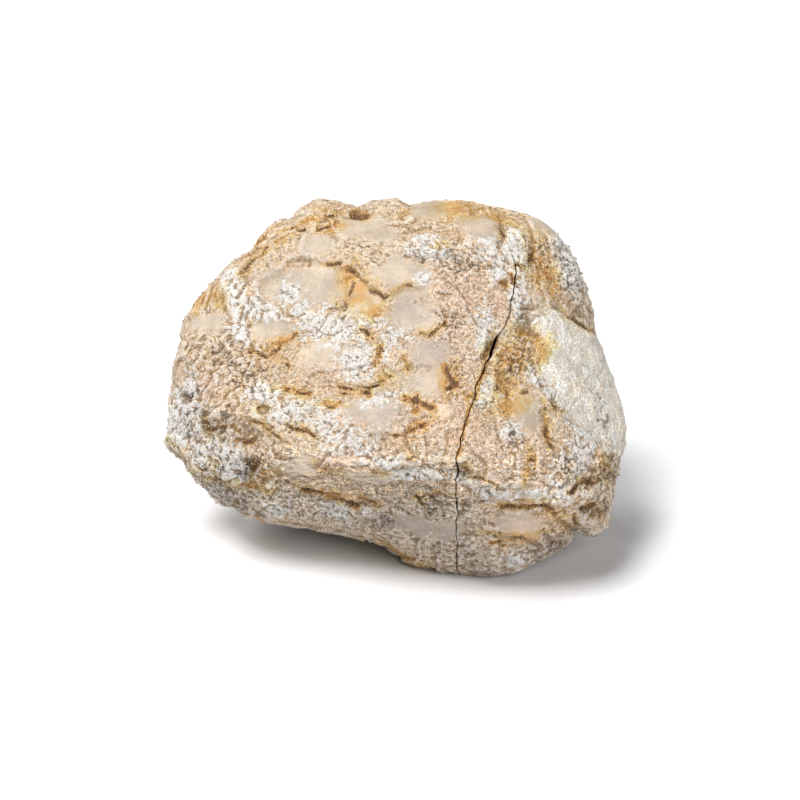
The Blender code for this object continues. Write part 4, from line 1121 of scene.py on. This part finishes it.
def worn_and_shaded_colour(at, colour, roughness):
    """Grime and painted shade in hollows, worn white and painted highlight on ridges, dark pits,
    crevices.
    """
    # Hollows darker: grime, and painted shade.
    dirt_and_shade = patch(at.hollow, at.fine, ragged=1.2, soft=0.1, edge=0.64)
    # Ridges whiter: worn, and a painted highlight.
    ridge = patch(at.hollow, at.fine, ragged=1.2, soft=-0.1, edge=0.3)
    # Pits painted dark: brown in them, and painted shade.
    wide_pits = patch(at.pitted, at.medium, ragged=3.4, soft=0.06, edge=1.2)
    small_pits = patch(at.pitted, at.fine, ragged=3.4, soft=0.06, edge=1.35)
    pits = maths("MAXIMUM", wide_pits, small_pits)
    rim = patch(at.crevice, at.fine, ragged=1.0, soft=0.06, edge=0.74)
    line = patch(at.crevice, at.fine, ragged=0.8, soft=0.04, edge=0.82)
    for coat, share in (
        (DIRT_AND_SHADE, dirt_and_shade * roughness * 0.75), (WHITE, ridge * roughness * 0.4),
        (BROWN, pits * roughness * 0.8), (RUSTY_EDGE, rim * 0.4), (LINE, line * 0.92),
    ):
        colour = over(colour, coat, share)
    return colour


def bump_height(at):
    """Each grain as a little face that leans its own way, with noise over it."""
    spread = scaled(at.place, GRAINS_PER_METRE)
    offset = vector_maths("SUBTRACT", spread, scaled(at.grain_place, GRAINS_PER_METRE))
    lean = vector_maths("SUBTRACT", at.grain_colour, (0.5, 0.5, 0.5))
    facet = vector_maths("DOT_PRODUCT", offset, lean, "Value")
    return facet * 0.5 + at.fine + at.medium * 1.4 - 1.2


def new_material(name):
    """A material, and its shader."""
    material = bpy.data.materials.new(name)
    material.use_nodes = True
    return material, material.node_tree.nodes["Principled BSDF"]


def crust_material(name):
    """Calcite: grainy crust, smooth windows, chalk, stains, dark crevices and pits."""
    material, shader = new_material(name)
    tree = material.node_tree
    at = crust_values(tree)
    colour, window, roughness = clean_colour(at)
    colour = worn_and_shaded_colour(at, stained_colour(at, colour), roughness)
    bumps = {"Height": bump_height(at) * roughness, "Distance": BUMP_HEIGHT}
    tree.links.new(colour.socket, shader.inputs["Base Color"])
    tree.links.new(fade(window, 0, 1, 0.75, 0.55).socket, shader.inputs["Roughness"])
    tree.links.new(add_node(tree, "Bump", bumps)["Normal"], shader.inputs["Normal"])
    return material


def scattered(mesh, count, rng):
    """Random places on a piece's crust, thick where it is grainy: place, normal and triangle."""
    mesh.calc_loop_triangles()
    triangles = np.empty(len(mesh.loop_triangles) * 3, np.int32)
    mesh.loop_triangles.foreach_get("vertices", triangles)
    triangles = triangles.reshape(-1, 3)
    corners = mesh_points(mesh)[triangles] / MM
    normal = np.cross(corners[:, 1] - corners[:, 0], corners[:, 2] - corners[:, 0])
    area = np.linalg.norm(normal, axis=1)
    normal /= np.maximum(area, 1e-9)[:, None]
    window = painted(mesh, "minerals")[triangles, 0].mean(axis=1)
    middle = corners.mean(axis=1)
    across, _, _ = break_across(middle[:, 1], middle[:, 2])
    clear = (np.abs(middle[:, 0] - across) > BREAK_CLEARANCE) & (middle[:, 2] > FLOOR_CLEARANCE)
    cluster = smooth_step(swells(middle, 701, (1, 5), (0.6, 1.6)), -0.4, 0.5)
    weight = area * clear * (0.004 + (1 - smooth_step(window, 0.2, 0.5)) * cluster)
    chosen = rng.choice(len(triangles), count, p=weight / weight.sum())
    shares = rng.dirichlet((1, 1, 1), count)
    places = np.einsum("nk,nkd->nd", shares, corners[chosen])
    return places, normal[chosen], triangles[chosen]


def grain_piece(name, stone, count, seed, material):
    """The sugary grains that stand on one piece: blunt little crystals, set in the crust."""
    rng = np.random.default_rng(seed)
    places, normals, under = scattered(stone.data, count, rng)
    smallest, largest = GRAIN_SIZES
    size = smallest + (largest - smallest) * rng.random(count) ** 3
    axes = np.linalg.qr(rng.normal(size=(count, 3, 3)))[0]
    axes *= (size[:, None] * rng.uniform(0.6, 1.0, (count, 3)))[:, :, None] / 2
    middles = places + normals * (size * rng.uniform(-0.1, 0.22, count))[:, None]
    tips = [middles + sign * axes[:, axis] for axis in range(3) for sign in (1, -1)]
    corners = np.stack(tips, axis=1)
    corners[:, :, 2] = np.maximum(corners[:, :, 2], 0)
    flip = np.linalg.det(axes) < 0
    faces = np.array(GRAIN_FACES)
    turned = np.where(flip[:, None, None], faces[:, ::-1], faces)
    triangles = (turned + 6 * np.arange(count)[:, None, None]).reshape(-1, 3)
    mesh = new_mesh(name, (corners.reshape(-1, 3) * MM).tolist(), triangles.tolist())
    for layer in ("crust", "glass", *PAINTED):
        values = painted(stone.data, layer)[under].mean(axis=1)[:, :3]
        if layer == "crust":
            values *= rng.uniform(0.8, 1.1, (count, 1))
        if layer == "wear_and_shade":
            values = values * (0.6, 0.5, 0) + (0, 0, 0.45)
        paint(mesh, layer, np.repeat(values, 6, axis=0))
    mesh.materials.append(material)
    piece = add_object(name, mesh)
    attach(piece, "root")


def make_floor():
    """A plain pale table top."""
    material, shader = new_material("floor")
    shader.inputs["Base Color"].default_value = FLOOR_COLOUR
    shader.inputs["Roughness"].default_value = 0.9
    corners = [(x * FLOOR_HALF, y * FLOOR_HALF, 0) for x, y in ((-1, -1), (1, -1), (1, 1), (-1, 1))]
    mesh = new_mesh("floor", corners, [(0, 1, 2, 3)])
    mesh.materials.append(material)
    floor = add_object("floor", mesh)


def make_camera():
    """The viewer that the stone is drawn for."""
    camera = bpy.data.cameras.new("camera")
    camera.sensor_width = SENSOR_WIDTH
    camera.lens = SENSOR_WIDTH * VIEW_DISTANCE / VIEW_WIDTH
    holder = add_object("camera", camera)
    holder.location = VIEW_CENTRE + Vector((0, -VIEW_COS, VIEW_SIN)) * VIEW_DISTANCE * MM
    holder.rotation_euler = (math.pi / 2 - VIEW_ELEVATION, 0, 0)
    bpy.context.scene.camera = holder


def light_stage():
    """Broad soft lights above, to both sides, and a faint glow from all around."""
    world = bpy.data.worlds.new("studio")
    world.use_nodes = True
    glow = world.node_tree.nodes["Background"].inputs
    glow["Color"].default_value = (1, 1, 1, 1)
    glow["Strength"].default_value = GLOW
    bpy.context.scene.world = world
    for name, place, size, power in LIGHTS:
        light = bpy.data.lights.new(name, "AREA")
        light.size = size
        light.energy = power
        holder = add_object(name, light)
        holder.location = place
        holder.rotation_euler = (Vector(place) - VIEW_CENTRE).to_track_quat("Z", "Y").to_euler()
    bpy.context.scene.view_settings.view_transform = "Standard"


make_camera()
light_stage()
make_floor()
SKIN = skin_mesh()
LARGER = crust_material("larger_crust")
SMALLER = crust_material("smaller_crust")
LARGER_STONE = stone_piece("larger_stone", "larger_piece", SKIN, -1, LARGER)
SMALLER_STONE = stone_piece("smaller_stone", "smaller_piece", SKIN, 1, SMALLER)
grain_piece("larger_grains", LARGER_STONE, LARGER_GRAINS, 71, LARGER)
grain_piece("smaller_grains", SMALLER_STONE, SMALLER_GRAINS, 72, SMALLER)
bpy.data.meshes.remove(SKIN)
